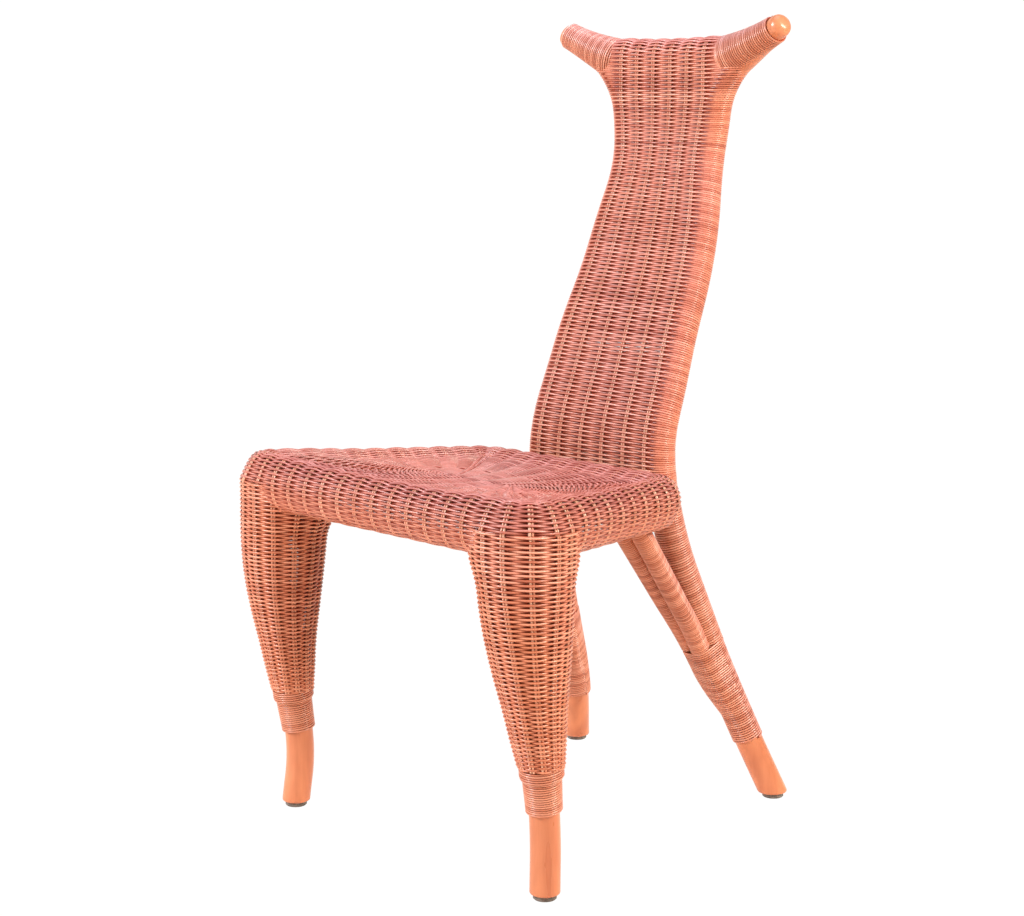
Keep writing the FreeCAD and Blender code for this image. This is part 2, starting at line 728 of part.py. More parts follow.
def domed_horn(shape, knob, dome):
    """The post with its tapered horn, bare for a knob's length past the wrap, and its end rounded."""
    cut_back = KNOB_LENGTH - knob
    end = HORN_END - HORN_HEADING * cut_back
    taper = Part.makeCone(POST_DIAMETER / 2, horn_radius(cut_back), HORN_RUN.Length - cut_back,
                          HORN_END - HORN_RUN, HORN_RUN)
    whole = shape.fuse(taper)
    rim = [edge for edge in whole.Edges
           if (edge.CenterOfMass - end).Length < 1 and edge.Length > HORN_TIP_DIAMETER]
    return whole.makeFillet(dome, rim)


HORN_RUN_EDGES = 2
POST_ROUND = tube(Part.Wire(POST.wire.OrderedEdges[:-HORN_RUN_EDGES]), POST_DIAMETER)
POST_CLEAR = tube(POST.wire, POST_DIAMETER + 2 * FIT)
LEG_ROUND = tube(FRONT_LEG.wire, LEG_DIAMETER)
LEG_CLEAR = tube(FRONT_LEG.wire, LEG_DIAMETER + 2 * FIT)
SIDE_RAIL_ROUND = tube(SIDE_RAIL, RAIL_DIAMETER)
SIDE_RAIL_CLEAR = tube(SIDE_RAIL, RAIL_DIAMETER + 2 * FIT)
BOTH_POSTS_CLEAR = [mirrored(POST_CLEAR, side) for name, side in SIDES]
BOTH_LEGS_CLEAR = [mirrored(LEG_CLEAR, side) for name, side in SIDES]
BOTH_SIDE_RAILS_CLEAR = [mirrored(SIDE_RAIL_CLEAR, side) for name, side in SIDES]


def cross_pole(y, z, half, diameter):
    return cylinder_between(Vec(-half, y, z), Vec(half, y, z), diameter)


LEG_TOP = front_leg_top()
LOWER_RAIL_PLACE = POST.at_height(BACK_LOWER_RAIL_HEIGHT)[0]
TOP_RAIL_POST = POST.at_height(BACK_TOP_RAIL_HEIGHT - TOP_RAIL_JOINT_DROP)[0]


def rail_between(place, half, diameter, neighbours):
    pole = cross_pole(place.y, place.z, half, diameter)
    return largest(pole.cut(neighbours))


FRAME_JOINTS = [
    ("seat_front_rail", "front_leg_pole",
     Vec(LEG_TOP.x - LEG_DIAMETER / 2, FRONT_RAIL_PLACE.y + RAIL_DIAMETER / 8,
         LEG_TOP.z - DOWEL_DIAMETER), Vec(1, 0, 0)),
    ("seat_rear_rail", "seat_side_rail",
     side_rail_place(REAR_RAIL_PLACE.y) - Vec(RAIL_DIAMETER / 2, 0, 0), Vec(1, 0, 0)),
    ("seat_front_cross_rail", "seat_side_rail",
     Vec(side_rail_place(FRONT_CROSS_PLACE.y).x - RAIL_DIAMETER / 2, FRONT_CROSS_PLACE.y,
         FRONT_CROSS_PLACE.z + CROSS_RAIL_DIAMETER / 6), Vec(1, 0, 0)),
    ("seat_rear_cross_rail", "seat_side_rail",
     Vec(side_rail_place(REAR_CROSS_PLACE.y).x - RAIL_DIAMETER / 2, REAR_CROSS_PLACE.y,
         REAR_CROSS_PLACE.z + CROSS_RAIL_DIAMETER / 6), Vec(1, 0, 0)),
    ("back_lower_rail", "back_post",
     LOWER_RAIL_PLACE - Vec(POST_DIAMETER / 2, 0, 0), Vec(1, 0, 0)),
    ("back_top_rail", "back_post",
     Vec(TOP_RAIL_POST.x - POST_DIAMETER / 2, TOP_RAIL_POST.y, BACK_TOP_RAIL_HEIGHT - DOWEL_DIAMETER / 4),
     Vec(1, 0, -0.4)),
    ("seat_side_rail", "front_leg_pole",
     RAIL_FRONT + Vec(-RAIL_DIAMETER / 4, 0, -DOWEL_DIAMETER / 2), RAIL_FRONT_HEADING),
    ("seat_side_rail", "back_post",
     RAIL_REAR - RAIL_REAR_HEADING * POST_DIAMETER / 2, RAIL_REAR_HEADING),
]
SHARED_PIECES = ("seat_front_rail", "seat_rear_rail", "seat_front_cross_rail", "seat_rear_cross_rail",
                 "back_lower_rail", "back_top_rail")


def build_frame():
    """Posts, legs and rails, coped to each other and bored for their dowels."""
    pieces = {}
    post_glide, post_hole = glide(POST.at_height(GLIDE_HEIGHT)[0])
    leg_glide, leg_hole = glide(FRONT_LEG.at_height(GLIDE_HEIGHT)[0])
    long_post = domed_horn(trimmed_foot(POST_ROUND), KNOB_LENGTH, KNOB_DOME).cut(post_hole)
    short_post = domed_horn(trimmed_foot(POST_ROUND), SHORT_KNOB_LENGTH, SHORT_KNOB_DOME).cut(post_hole)
    leg = trimmed_foot(LEG_ROUND).cut(leg_hole)
    rail = largest(SIDE_RAIL_ROUND.cut([POST_CLEAR, LEG_CLEAR]))
    for name, side in SIDES:
        pieces[name + "_back_post"] = mirrored(long_post if side > 0 else short_post, side)
        pieces["front_" + name + "_leg_pole"] = mirrored(leg, side)
        pieces["seat_" + name + "_side_rail"] = mirrored(rail, side)
        add("rear_" + name + "_glide", mirrored(post_glide, side))
        add("front_" + name + "_glide", mirrored(leg_glide, side))
    pieces["seat_front_rail"] = rail_between(
        FRONT_RAIL_PLACE, LEG_TOP.x - RAIL_DIAMETER / 2, RAIL_DIAMETER, BOTH_LEGS_CLEAR)
    for name, place, diameter in (
        ("seat_rear_rail", REAR_RAIL_PLACE, RAIL_DIAMETER),
        ("seat_front_cross_rail", FRONT_CROSS_PLACE, CROSS_RAIL_DIAMETER),
        ("seat_rear_cross_rail", REAR_CROSS_PLACE, CROSS_RAIL_DIAMETER),
    ):
        half = side_rail_place(place.y).x
        pieces[name] = rail_between(place, half, diameter, BOTH_SIDE_RAILS_CLEAR)
    pieces["back_lower_rail"] = rail_between(
        LOWER_RAIL_PLACE, LOWER_RAIL_PLACE.x, BACK_RAIL_DIAMETER, BOTH_POSTS_CLEAR)
    top_place = Vec(0, TOP_RAIL_POST.y, BACK_TOP_RAIL_HEIGHT)
    pieces["back_top_rail"] = rail_between(
        top_place, TOP_RAIL_POST.x, BACK_RAIL_DIAMETER, BOTH_POSTS_CLEAR)
    dowels = []
    for first, second, place, heading in FRAME_JOINTS:
        pin, hole = dowel_at(place, heading)
        for name, side in SIDES:
            dowels.append(mirrored(pin, side))
            for piece in (first, second):
                key = piece_name(piece, name)
                pieces[key] = pieces[key].cut(mirrored(hole, side))
    for name, shape in pieces.items():
        add(name, largest(shape))
    add("frame_dowels", Part.makeCompound(dowels))


def piece_name(piece, side):
    """The full name of a piece on one side, such as front_left_leg_pole."""
    if piece in SHARED_PIECES:
        return piece
    if piece == "back_post":
        return side + "_back_post"
    first, rest = piece.split("_", 1)
    return first + "_" + side + "_" + rest


# Braces with their wraps, and the binding that ties them to the rear leg

def build_braces():
    outer = tube(OUTER_BRACE, BRACE_DIAMETER)
    outer_clear = tube(OUTER_BRACE, BRACE_DIAMETER + 2 * FIT)
    inner = tube(INNER_BRACE, BRACE_DIAMETER)
    inner_clear = tube(INNER_BRACE, BRACE_DIAMETER + 2 * FIT)
    cross_clear = cross_pole(REAR_CROSS_PLACE.y, REAR_CROSS_PLACE.z, SEAT_REAR_WIDTH / 2,
                             CROSS_RAIL_DIAMETER + 2 * FIT)
    stops = [POST_CLEAR, SIDE_RAIL_CLEAR, cross_clear]
    outer_pole = largest(outer.cut(stops))
    inner_pole = largest(inner.cut(stops + [outer_clear]))
    wrap_size = BRACE_DIAMETER + 2 * (FIT + POLE_WRAP_WALL)
    wrap_zone = slab(REAR_BINDING_TOP + FIT, on_seat(0, REAR_CORNER.y, -RIM_HEIGHT / 2).z)
    outer_wrap_round = tube(OUTER_BRACE, wrap_size)
    inner_wrap_round = tube(INNER_BRACE, wrap_size)
    post_wrap_clear = tube(POST.wire, POST_DIAMETER + 2 * (2 * FIT + POLE_WRAP_WALL))
    outer_wrap = largest(outer_wrap_round.common(wrap_zone).cut(
        [outer_clear, inner_clear, post_wrap_clear]))
    inner_wrap = largest(inner_wrap_round.common(wrap_zone).cut(
        [inner_clear, post_wrap_clear, tube(OUTER_BRACE, wrap_size + 2 * FIT)]))
    binding = rear_binding().cut([POST_CLEAR, outer_clear, inner_clear])
    for name, side in SIDES:
        add(name + "_outer_brace", mirrored(outer_pole, side))
        add(name + "_inner_brace", mirrored(inner_pole, side))
        add(name + "_outer_brace_wrap", mirrored(outer_wrap, side))
        add(name + "_inner_brace_wrap", mirrored(inner_wrap, side))
        add(name + "_rear_leg_binding", mirrored(largest(binding), side))
    return [tube(OUTER_BRACE, wrap_size + 2 * FIT), tube(INNER_BRACE, wrap_size + 2 * FIT)]


def rear_binding():
    """A tapering sleeve of wound reed, wide where it holds the brace ends."""
    steps = 4
    outer = []
    inner = []
    narrow = POST_DIAMETER / 2 + FIT + POLE_WRAP_WALL
    for step in range(steps + 1):
        share = step / steps
        place, heading = POST.at_height(
            REAR_BINDING_FOOT + (REAR_BINDING_TOP - REAR_BINDING_FOOT) * share)
        centre = place + Vec(*REAR_BINDING_SHIFT, 0) * share
        radius = narrow + (REAR_BINDING_DIAMETER / 2 - narrow) * share
        outer.append(Part.Wire(Part.makeCircle(radius, centre, heading)))
        inner.append(Part.Wire(Part.makeCircle(radius - POLE_WRAP_WALL, centre, heading)))
    return Part.makeLoft(outer, True).cut(Part.makeLoft(inner, True))


def build_post_wraps(brace_spaces):
    wrap = tube(POST.wire, POST_DIAMETER + 2 * (FIT + POLE_WRAP_WALL))
    zone = slab(REAR_BINDING_TOP + 2 * FIT, BACK_WEAVE_FOOT - FIT)
    sleeve = wrap.cut(POST_CLEAR).common(zone)
    for neighbour in [SIDE_RAIL_CLEAR, Part.makeLoft(binding_outline(), True)] + brace_spaces:
        sleeve = largest(sleeve.cut(neighbour))
    for name, side in SIDES:
        add(name + "_post_wrap", mirrored(sleeve, side))


def binding_outline():
    """The top of the rear leg binding, grown by the fit."""
    place, heading = POST.at_height(REAR_BINDING_TOP)
    centre = place + Vec(*REAR_BINDING_SHIFT, 0)
    radius = REAR_BINDING_DIAMETER / 2 + FIT
    low = centre - heading * REAR_BINDING_DIAMETER
    return [Part.Wire(Part.makeCircle(radius, low, heading)),
            Part.Wire(Part.makeCircle(radius, centre + heading * FIT, heading))]


# Woven sleeves of the front legs

def sleeve_foot():
    """The sleeve starts just above the last turn of the ankle binding."""
    return ANKLE_BINDING_TOP + ankle_reed() / 2 + 2 * FIT


def sleeve_sections(wall):
    low = sleeve_foot()
    ankle = FRONT_LEG.at_height(low)[0]
    corner = on_seat(FRONT_CORNER.x, FRONT_CORNER.y, 0)
    narrow = SLEEVE_ANKLE_DIAMETER / 2
    wide = FRONT_CORNER_RADIUS + SLEEVE_PROUD
    sections = []
    steps = 6
    for step in range(steps + 1):
        share = step / steps
        ease = math.sin(math.pi / 2 * share)
        centre = ankle + (corner - ankle) * ease
        centre = centre + Vec(SLEEVE_BULGE * math.sin(math.pi * share), 0, 0)
        centre.z = low + (seat_underside() - low) * share
        radius = narrow + (wide - narrow) * ease ** SLEEVE_SWELL - wall
        sections.append(Part.Wire(Part.makeCircle(max(radius, LEG_DIAMETER / 2 + FIT), centre, UP)))
    top = Vec(corner.x, corner.y, seat_underside() + SLEEVE_REACH)
    sections.append(Part.Wire(Part.makeCircle(wide - wall, top, UP)))
    return sections


def seat_underside():
    return on_seat(0, FRONT_CORNER.y, -RIM_HEIGHT / 2).z


def ankle_collar():
    """The stake ends that the ankle binding holds against the pole."""
    low = ANKLE_BINDING_TOP - COLLAR_LENGTH
    wires = []
    for height in (low, sleeve_foot() + FIT):
        place = FRONT_LEG.at_height(height)[0]
        wires.append(Part.Wire(Part.makeCircle(ankle_inner_radius(height) - FIT, place, UP)))
    return Part.makeLoft(wires, True)


def build_leg_sleeves():
    outer = Part.makeLoft(sleeve_sections(0), True)
    inner = Part.makeLoft(sleeve_sections(WEAVE_WALL), True)
    sleeve = outer.cut(inner).fuse(ankle_collar()).cut([LEG_CLEAR, SEAT_CLEAR])
    binding, gap = ankle_binding()
    print("ankle binding: least gap between turns %.2f mm" % gap)
    for name, side in SIDES:
        add("front_" + name + "_leg_weave", mirrored(largest(sleeve), side))
        add("front_" + name + "_ankle_binding", mirrored(binding, side))
    return inner


# Woven seat and back

def build_seat(leg_inside, brace_spaces):
    low = seat_underside()
    leg_mouth = leg_inside.common(slab(ANKLE_BINDING_TOP, low + WEAVE_WALL + FIT))
    rail_hole = tube(SIDE_RAIL_BEND, RAIL_DIAMETER + 2 * FIT)
    skin = seat_skin()
    for name, side in SIDES:
        for cutter in [leg_mouth, LEG_CLEAR, rail_hole] + brace_spaces:
            skin = skin.cut(mirrored(cutter, side))
    add("seat_weave", largest(skin))


def back_stakes(height, wide):
    """Where the stakes stand across the back, from its middle."""
    place = POST.at_height(min(height, WAIST_HEIGHT))[0]
    waist = WAIST_SPREAD / 2
    reach = min(waist + (place.x - waist) * BACK_STAKE_SPLAY, wide - STAKE_WIDTH)
    return [share * reach for share in BACK_STAKES]


def back_section(height, half, thick, rise=0):
    """A flat oval round the two posts, square to their rake, with ribs for the stakes if they rise."""
    place, heading = POST.at_height(height)
    rake = Vec(0, heading.y, heading.z).normalize()
    front = Vec(0, -rake.z, rake.y)
    wide = min(half(place), BACK_CORNER_SPREAD / 2)
    middle = Vec(0, place.y, place.z)

    def spot(side, angle):
        return middle + Vec(side * wide, 0, 0) + (
            Vec(math.cos(angle), 0, 0) + front * math.sin(angle)) * thick

    def flat_run(facing):
        def at(x, out):
            return middle + Vec(facing * x, 0, 0) + front * (facing * (thick + out))

        run = []
        here = at(-wide, 0)
        for x in back_stakes(height, wide) if rise else ():
            rib = [at(x - STAKE_WIDTH / 2, 0), at(x, rise), at(x + STAKE_WIDTH / 2, 0)]
            run += [Part.LineSegment(here, rib[0]), Part.Arc(*rib)]
            here = rib[2]
        return run + [Part.LineSegment(here, at(wide, 0))]

    quarter = math.pi / 2
    edges = flat_run(1)
    for side, start in ((1, quarter), (-1, -quarter)):
        for turn in (0, -quarter):
            first = start + turn
            edges.append(Part.Arc(*[spot(side, first - part * quarter) for part in (0, 0.5, 1)]))
        if side > 0:
            edges += flat_run(-1)
    return Part.Wire([edge.toShape() for edge in edges])


def build_back():
    half_thick = POST_DIAMETER / 2 + FIT + BACK_WRAP_WALL
    hollow = BACK_RAIL_DIAMETER / 2 + FIT
    shoulder = BACK_TOP_RAIL_HEIGHT
    steps = 9
    start = BACK_WEAVE_FOOT - half_thick
    heights = [start + (shoulder - start) * step / steps for step in range(steps + 1)]
    sections = [back_section(z, lambda place: place.x, half_thick, STAKE_RISE) for z in heights]
    rise = BACK_WEAVE_TOP - shoulder
    for lift, thick in ((0.6, 0.85), (1.0, 0.45)):
        sections.append(back_section(shoulder + rise * lift, lambda place: place.x, half_thick * thick,
                                     STAKE_RISE * thick))
    outer = Part.makeLoft(sections, True)
    inside = [back_section(z, lambda place: place.x - POST_DIAMETER / 4, hollow)
              for z in heights[:-1]]
    channel = Part.makeLoft(inside, True)
    top_rail = cross_pole(TOP_RAIL_POST.y, BACK_TOP_RAIL_HEIGHT, HORN_BASE.x, BACK_RAIL_DIAMETER + 2 * FIT)
    cones = [mirrored(horn_cone(), side) for name, side in SIDES]
    lower_rail = cross_pole(LOWER_RAIL_PLACE.y, BACK_LOWER_RAIL_HEIGHT, LOWER_RAIL_PLACE.x,
                            BACK_RAIL_DIAMETER + 2 * FIT)
    outer = outer.common(slab(BACK_WEAVE_FOOT, 2 * BACK_WEAVE_TOP))
    weave = outer.cut([channel, top_rail, lower_rail] + BOTH_POSTS_CLEAR + BOTH_SIDE_RAILS_CLEAR + cones)
    add("back_weave", largest(weave))
    wrap, gap = horn_wrap()
    print("horn wrap: least gap between turns %.2f mm" % gap)
    for name, side in SIDES:
        add(name + "_horn_wrap", mirrored(wrap, side))


build_frame()
brace_spaces = build_braces()
build_post_wraps(brace_spaces)
leg_inside = build_leg_sleeves()
build_seat(leg_inside, brace_spaces)
build_back()

# The origin is on the floor, at the middle of the chair's box
box = FreeCAD.BoundBox()
for shape in parts.values():
    box.add(shape.optimalBoundingBox(False, False))
to_origin = Vec(-box.Center.x, -box.Center.y, -box.ZMin)
for name, shape in parts.items():
    shape.translate(to_origin)
    shape.exportStep("parts/%s.step" % name)
print("%d nodes, %.1f x %.1f x %.1f mm, moved %.2f mm in depth"
      % (len(parts), box.XLength, box.YLength, box.ZLength, to_origin.y))
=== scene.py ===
# %% [markdown]
# # A woven rattan chair
# The frame of this chair is bent rattan pole, and almost everything you see is thin round reed
# that was woven or wound over it. We keep the poles, rails and glides of the CAD model as they
# are, hide its plain woven skins, and lay real strands of reed in their place. One Geometry Nodes
# tree makes every row and every winding, because both follow the same rule: rows of reed across a
# guide surface. A small second tree makes the stakes that the rows pass round.

import math

import bpy
import numpy as np
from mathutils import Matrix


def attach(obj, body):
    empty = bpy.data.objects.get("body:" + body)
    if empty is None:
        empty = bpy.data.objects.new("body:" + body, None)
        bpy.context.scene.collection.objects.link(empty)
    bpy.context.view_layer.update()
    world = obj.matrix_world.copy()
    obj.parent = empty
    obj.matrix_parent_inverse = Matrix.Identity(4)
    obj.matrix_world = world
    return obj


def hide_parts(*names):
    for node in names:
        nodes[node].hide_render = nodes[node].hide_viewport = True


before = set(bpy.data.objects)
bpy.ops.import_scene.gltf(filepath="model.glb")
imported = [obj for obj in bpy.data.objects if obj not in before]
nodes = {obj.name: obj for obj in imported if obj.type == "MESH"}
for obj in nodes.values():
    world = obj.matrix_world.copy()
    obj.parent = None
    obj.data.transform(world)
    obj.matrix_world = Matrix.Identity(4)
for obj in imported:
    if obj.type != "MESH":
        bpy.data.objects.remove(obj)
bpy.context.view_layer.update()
scene = bpy.context.scene
print("frame loaded:", len(nodes), "nodes")

# %% [markdown]
# ## Working in the maker's millimetres
# The chair was drawn in millimetres with the front feet at depth zero, while Blender works in
# metres round the middle of the chair. One small helper does the change, so every size of the chair
# below can be read as a maker would write it. A second one eases a value from 0 to 1.

# %% Units
DEPTH_SHIFT = 201.15


def metres(points):
    """Millimetres in the drawing's frame to metres in the model's frame."""
    points = np.asarray(points, dtype=float)
    return (points - np.array([0.0, DEPTH_SHIFT, 0.0])) / 1000.0


def smooth(low, high, value):
    """0 below low, 1 above high, and an even curve between."""
    share = np.clip((np.asarray(value, dtype=float) - low) / (high - low), 0.0, 1.0)
    return share * share * (3 - 2 * share)


print("one metre is", metres([0, DEPTH_SHIFT, 1000]))

# %% [markdown]
# ## The camera
# The photograph was taken from the front left of the chair, from above the seat. The camera's place
# and lens were fitted to the chair's feet, seat and horns, so the render can be laid over the
# photograph.

# %% Camera
CAMERA_PLACE = (1.8182, -1.7922, 0.8800)
CAMERA_DOWN = 9.554
CAMERA_TURN = 45.985
FOCAL_LENGTH = 74.16
SENSOR_WIDTH = 36.0

lens = bpy.data.cameras.new("photo_camera")
lens.lens = FOCAL_LENGTH
lens.sensor_width = SENSOR_WIDTH
lens.sensor_fit = "HORIZONTAL"
camera = bpy.data.objects.new("photo_camera", lens)
camera.location = CAMERA_PLACE
camera.rotation_euler = (math.radians(90 - CAMERA_DOWN), 0, math.radians(CAMERA_TURN))
scene.collection.objects.link(camera)
scene.camera = camera
print("camera at", tuple(round(v, 3) for v in camera.location))

# %% [markdown]
# ## Node helpers
# Materials and Geometry Nodes are both built from nodes, so a few helpers serve both. Each input of
# a node is either linked to another node or set to a plain value, and `feed` tells them apart.

# %% Node helpers
def feed(tree, socket, value):
    if isinstance(value, bpy.types.NodeSocket):
        tree.links.new(value, socket)
    else:
        socket.default_value = value


def add_node(tree, kind, inputs=None, **settings):
    """A new node with its settings, and with its inputs fed."""
    node = tree.nodes.new(kind)
    for key, value in settings.items():
        setattr(node, key, value)
    for label, value in (inputs or {}).items():
        feed(tree, node.inputs[label], value)
    return node


def sums(tree, operation, *values):
    """A math node on plain numbers or on other nodes' values."""
    node = add_node(tree, "ShaderNodeMath", dict(enumerate(values)), operation=operation)
    return node.outputs[0]


def ranged(tree, source, first, last, low=0.0, high=1.0):
    """A value between first and last moved to between low and high."""
    spread = add_node(tree, "ShaderNodeMapRange", {
        "Value": source, "From Min": first, "From Max": last, "To Min": low, "To Max": high})
    return spread.outputs["Result"]


print("node helpers ready")

# %% [markdown]
# ## Finishes
# Reed is a peeled vine: round, slightly glossy under its lacquer, and no two strands have quite the
# same colour. Each strand carries a random number called tint, which the material reads to choose
# its colour. A slow noise over the whole chair drifts between pink and orange as the lacquer does.
# Where a strand dips behind a stake or turns towards its neighbour, its colour is darkened as
# painted shade, and what faces up is made paler and pinker as a painted sheen.

# %% Finish helpers
def start_finish(name):
    material = bpy.data.materials.new(name)
    material.use_nodes = True
    tree = material.node_tree
    return material, tree, tree.nodes["Principled BSDF"]


def attribute(tree, name, output):
    return add_node(tree, "ShaderNodeAttribute", attribute_name=name).outputs[output]


def noise_on_object(tree, scale, detail=2.0, stretch=(1, 1, 1)):
    place = add_node(tree, "ShaderNodeTexCoord")
    turn = add_node(tree, "ShaderNodeMapping", {
        "Vector": place.outputs["Object"], "Scale": stretch})
    noise = add_node(tree, "ShaderNodeTexNoise", {
        "Vector": turn.outputs["Vector"], "Scale": scale, "Detail": detail})
    return noise.outputs["Fac"]


def grade(tree, noise, low, high):
    """A noise, whose values crowd round a half, spread over a plain range."""
    return ranged(tree, noise, 0.3, 0.7, low, high)


def ramp_of(tree, source, stops):
    ramp = add_node(tree, "ShaderNodeValToRGB", {"Fac": source})
    while len(ramp.color_ramp.elements) < len(stops):
        ramp.color_ramp.elements.new(0.5)
    for element, (place, colour) in zip(ramp.color_ramp.elements, stops):
        element.position = place
        element.color = (*colour, 1)
    return ramp.outputs["Color"]


def mixed(tree, blend, share, source, colour):
    """Another node's colour, mixed with a plain one."""
    mix = add_node(tree, "ShaderNodeMix", {"Factor": share, "A": source, "B": (*colour, 1)},
                   data_type="RGBA", blend_type=blend)
    return mix.outputs["Result"]


def add_bump(tree, shader, source, strength, distance):
    bump = add_node(tree, "ShaderNodeBump", {
        "Height": source, "Strength": strength, "Distance": distance})
    feed(tree, shader.inputs["Normal"], bump.outputs["Normal"])


# %% Reed finishes
DRIFT_SCALE = 7.0
DRIFT_SHARE = 0.55
FIBRE_SCALE = 260.0
FIBRE_HEIGHT = 0.0003
SPECK_COLOUR = (0.62, 0.42, 0.34)
# Painted sheen: what faces up is made paler and pinker, as light from above on the lacquer
PAINTED_SHEEN_COLOUR = (1.08, 1.17, 1.72)
# Painted shade in the hollows behind the stakes
HOLLOW_SHADE_COLOUR = (0.46, 0.165, 0.09)
# Painted shade where a strand's skin turns towards the next row
FLANK_SHADE_COLOUR = (0.52, 0.19, 0.10)


def flank_shade_share(tree):
    """How far a strand's skin turns from the weave's outside to the next strand, 0 to 1: the share
    of painted shade between the rows.
    """
    outside = attribute(tree, "outside", "Vector")
    skin = add_node(tree, "ShaderNodeTexCoord")
    facing = add_node(tree, "ShaderNodeVectorMath", {0: outside, 1: skin.outputs["Normal"]},
                      operation="DOT_PRODUCT")
    turned = ranged(tree, facing.outputs["Value"], 0.80, 0.20)
    # Stakes have no outside of their own: there its length is 0, and so is the share
    known = add_node(tree, "ShaderNodeVectorMath", {0: outside}, operation="LENGTH")
    return sums(tree, "MULTIPLY", turned, known.outputs["Value"])


def painted_sheen_share(tree):
    """How far the weave faces up, 0 to 1: the share of the painted sky sheen."""
    outside = attribute(tree, "outside", "Vector")
    parts = add_node(tree, "ShaderNodeSeparateXYZ", {"Vector": outside})
    return ranged(tree, parts.outputs["Z"], -0.1, 0.9)


def reed_finish(name, stops, drift, gloss, grain=0.30):
    """Lacquered reed: a colour for each strand, a slow drift over the chair and a fine grain."""
    material, tree, shader = start_finish(name)
    strand = ramp_of(tree, attribute(tree, "tint", "Fac"), stops)
    slow = noise_on_object(tree, DRIFT_SCALE)
    drifted = mixed(tree, "MIX", grade(tree, slow, 0.0, DRIFT_SHARE), strand, drift)
    fine = noise_on_object(tree, FIBRE_SCALE, 3.0)
    speck = mixed(tree, "MULTIPLY", grade(tree, fine, 0.0, grain), drifted, SPECK_COLOUR)
    # Painted sheen: what faces up is made paler and pinker, as light from above on the lacquer
    sheen = mixed(tree, "MULTIPLY", painted_sheen_share(tree), speck, PAINTED_SHEEN_COLOUR)
    # Painted shade: darker where a strand dips behind a stake
    sunk = ranged(tree, attribute(tree, "depth", "Fac"), 0.0, -0.8)
    hollow_shaded = mixed(tree, "MULTIPLY", sunk, sheen, HOLLOW_SHADE_COLOUR)
    # Painted shade: darker where a strand's skin turns towards the next row
    flank_shaded = mixed(tree, "MULTIPLY", flank_shade_share(tree), hollow_shaded, FLANK_SHADE_COLOUR)
    feed(tree, shader.inputs["Base Color"], flank_shaded)
    feed(tree, shader.inputs["Roughness"], grade(tree, fine, gloss - 0.08, gloss + 0.10))
    shader.inputs["Coat Weight"].default_value = 0.4
    shader.inputs["Coat Roughness"].default_value = 0.2
    add_bump(tree, shader, fine, 0.8 * grain, FIBRE_HEIGHT)
    return material


woven_reed = reed_finish(
    "woven_reed",
    [(0.0, (0.45, 0.122, 0.076)), (0.4, (0.69, 0.252, 0.165)), (1.0, (0.87, 0.42, 0.29))],
    (0.77, 0.295, 0.155), 0.33)
# A lighter, more orange copy of the same reed for the legs: painted light on them, which face the
# warm side light
leg_reed = reed_finish(
    "leg_reed",
    [(0.0, (0.48, 0.135, 0.078)), (0.4, (0.73, 0.285, 0.18)), (1.0, (0.91, 0.48, 0.34))],
    (0.81, 0.33, 0.16), 0.33)
# A darker copy of the same reed for the seat: painted shade under the rim, which the painted sheen
# lifts again on top
seat_reed = reed_finish(
    "seat_reed",
    [(0.0, (0.34, 0.085, 0.055)), (0.4, (0.54, 0.182, 0.118)), (1.0, (0.73, 0.33, 0.225))],
    (0.63, 0.21, 0.105), 0.33)
stake_reed = reed_finish(
    "stake_reed",
    [(0.0, (0.68, 0.28, 0.17)), (0.6, (0.86, 0.47, 0.31)), (1.0, (0.94, 0.64, 0.45))],
    (0.84, 0.42, 0.24), 0.40)
wound_reed = reed_finish(
    "wound_reed",
    [(0.0, (0.46, 0.145, 0.09)), (0.4, (0.67, 0.285, 0.19)), (1.0, (0.84, 0.45, 0.325))],
    (0.72, 0.29, 0.15), 0.32, 0.10)
print("reed finishes ready")

# %% [markdown]
# The bare feet and horn ends show the pole itself: a hard orange-brown skin with a fine grain along
# its length and a clear lacquer. The grain is a noise that is stretched along the pole. The seat's
# side rails share this finish, because their rear ends show between the seat and the back posts.

# %% Pole, dowel and glide finishes
GRAIN_SCALE = 60.0
GRAIN_STRETCH = (1.0, 1.0, 0.12)
STAIN_SCALE = 14.0
STAIN_SHARE = 0.35
STAIN_COLOUR = (0.70, 0.52, 0.42)
GLIDE_SCALE = 180.0
GLIDE_STOPS = [(0.35, (0.10, 0.095, 0.085)), (0.7, (0.24, 0.23, 0.21))]


def pole_finish(name, deep, light, gloss):
    material, tree, shader = start_finish(name)
    grain = noise_on_object(tree, GRAIN_SCALE, 4.0, GRAIN_STRETCH)
    colour = ramp_of(tree, grain, [(0.3, deep), (0.7, light)])
    stains = grade(tree, noise_on_object(tree, STAIN_SCALE), 0.0, STAIN_SHARE)
    feed(tree, shader.inputs["Base Color"], mixed(tree, "MULTIPLY", stains, colour, STAIN_COLOUR))
    feed(tree, shader.inputs["Roughness"], grade(tree, grain, gloss, gloss + 0.14))
    shader.inputs["Coat Weight"].default_value = 0.5
    shader.inputs["Coat Roughness"].default_value = 0.15
    add_bump(tree, shader, grain, 0.12, 0.0004)
    return material


def glide_finish():
    material, tree, shader = start_finish("grey_glide")
    speck = noise_on_object(tree, GLIDE_SCALE, 3.0)
    feed(tree, shader.inputs["Base Color"], ramp_of(tree, speck, GLIDE_STOPS))
    shader.inputs["Roughness"].default_value = 0.62
    add_bump(tree, shader, speck, 0.2, 0.0003)
    return material


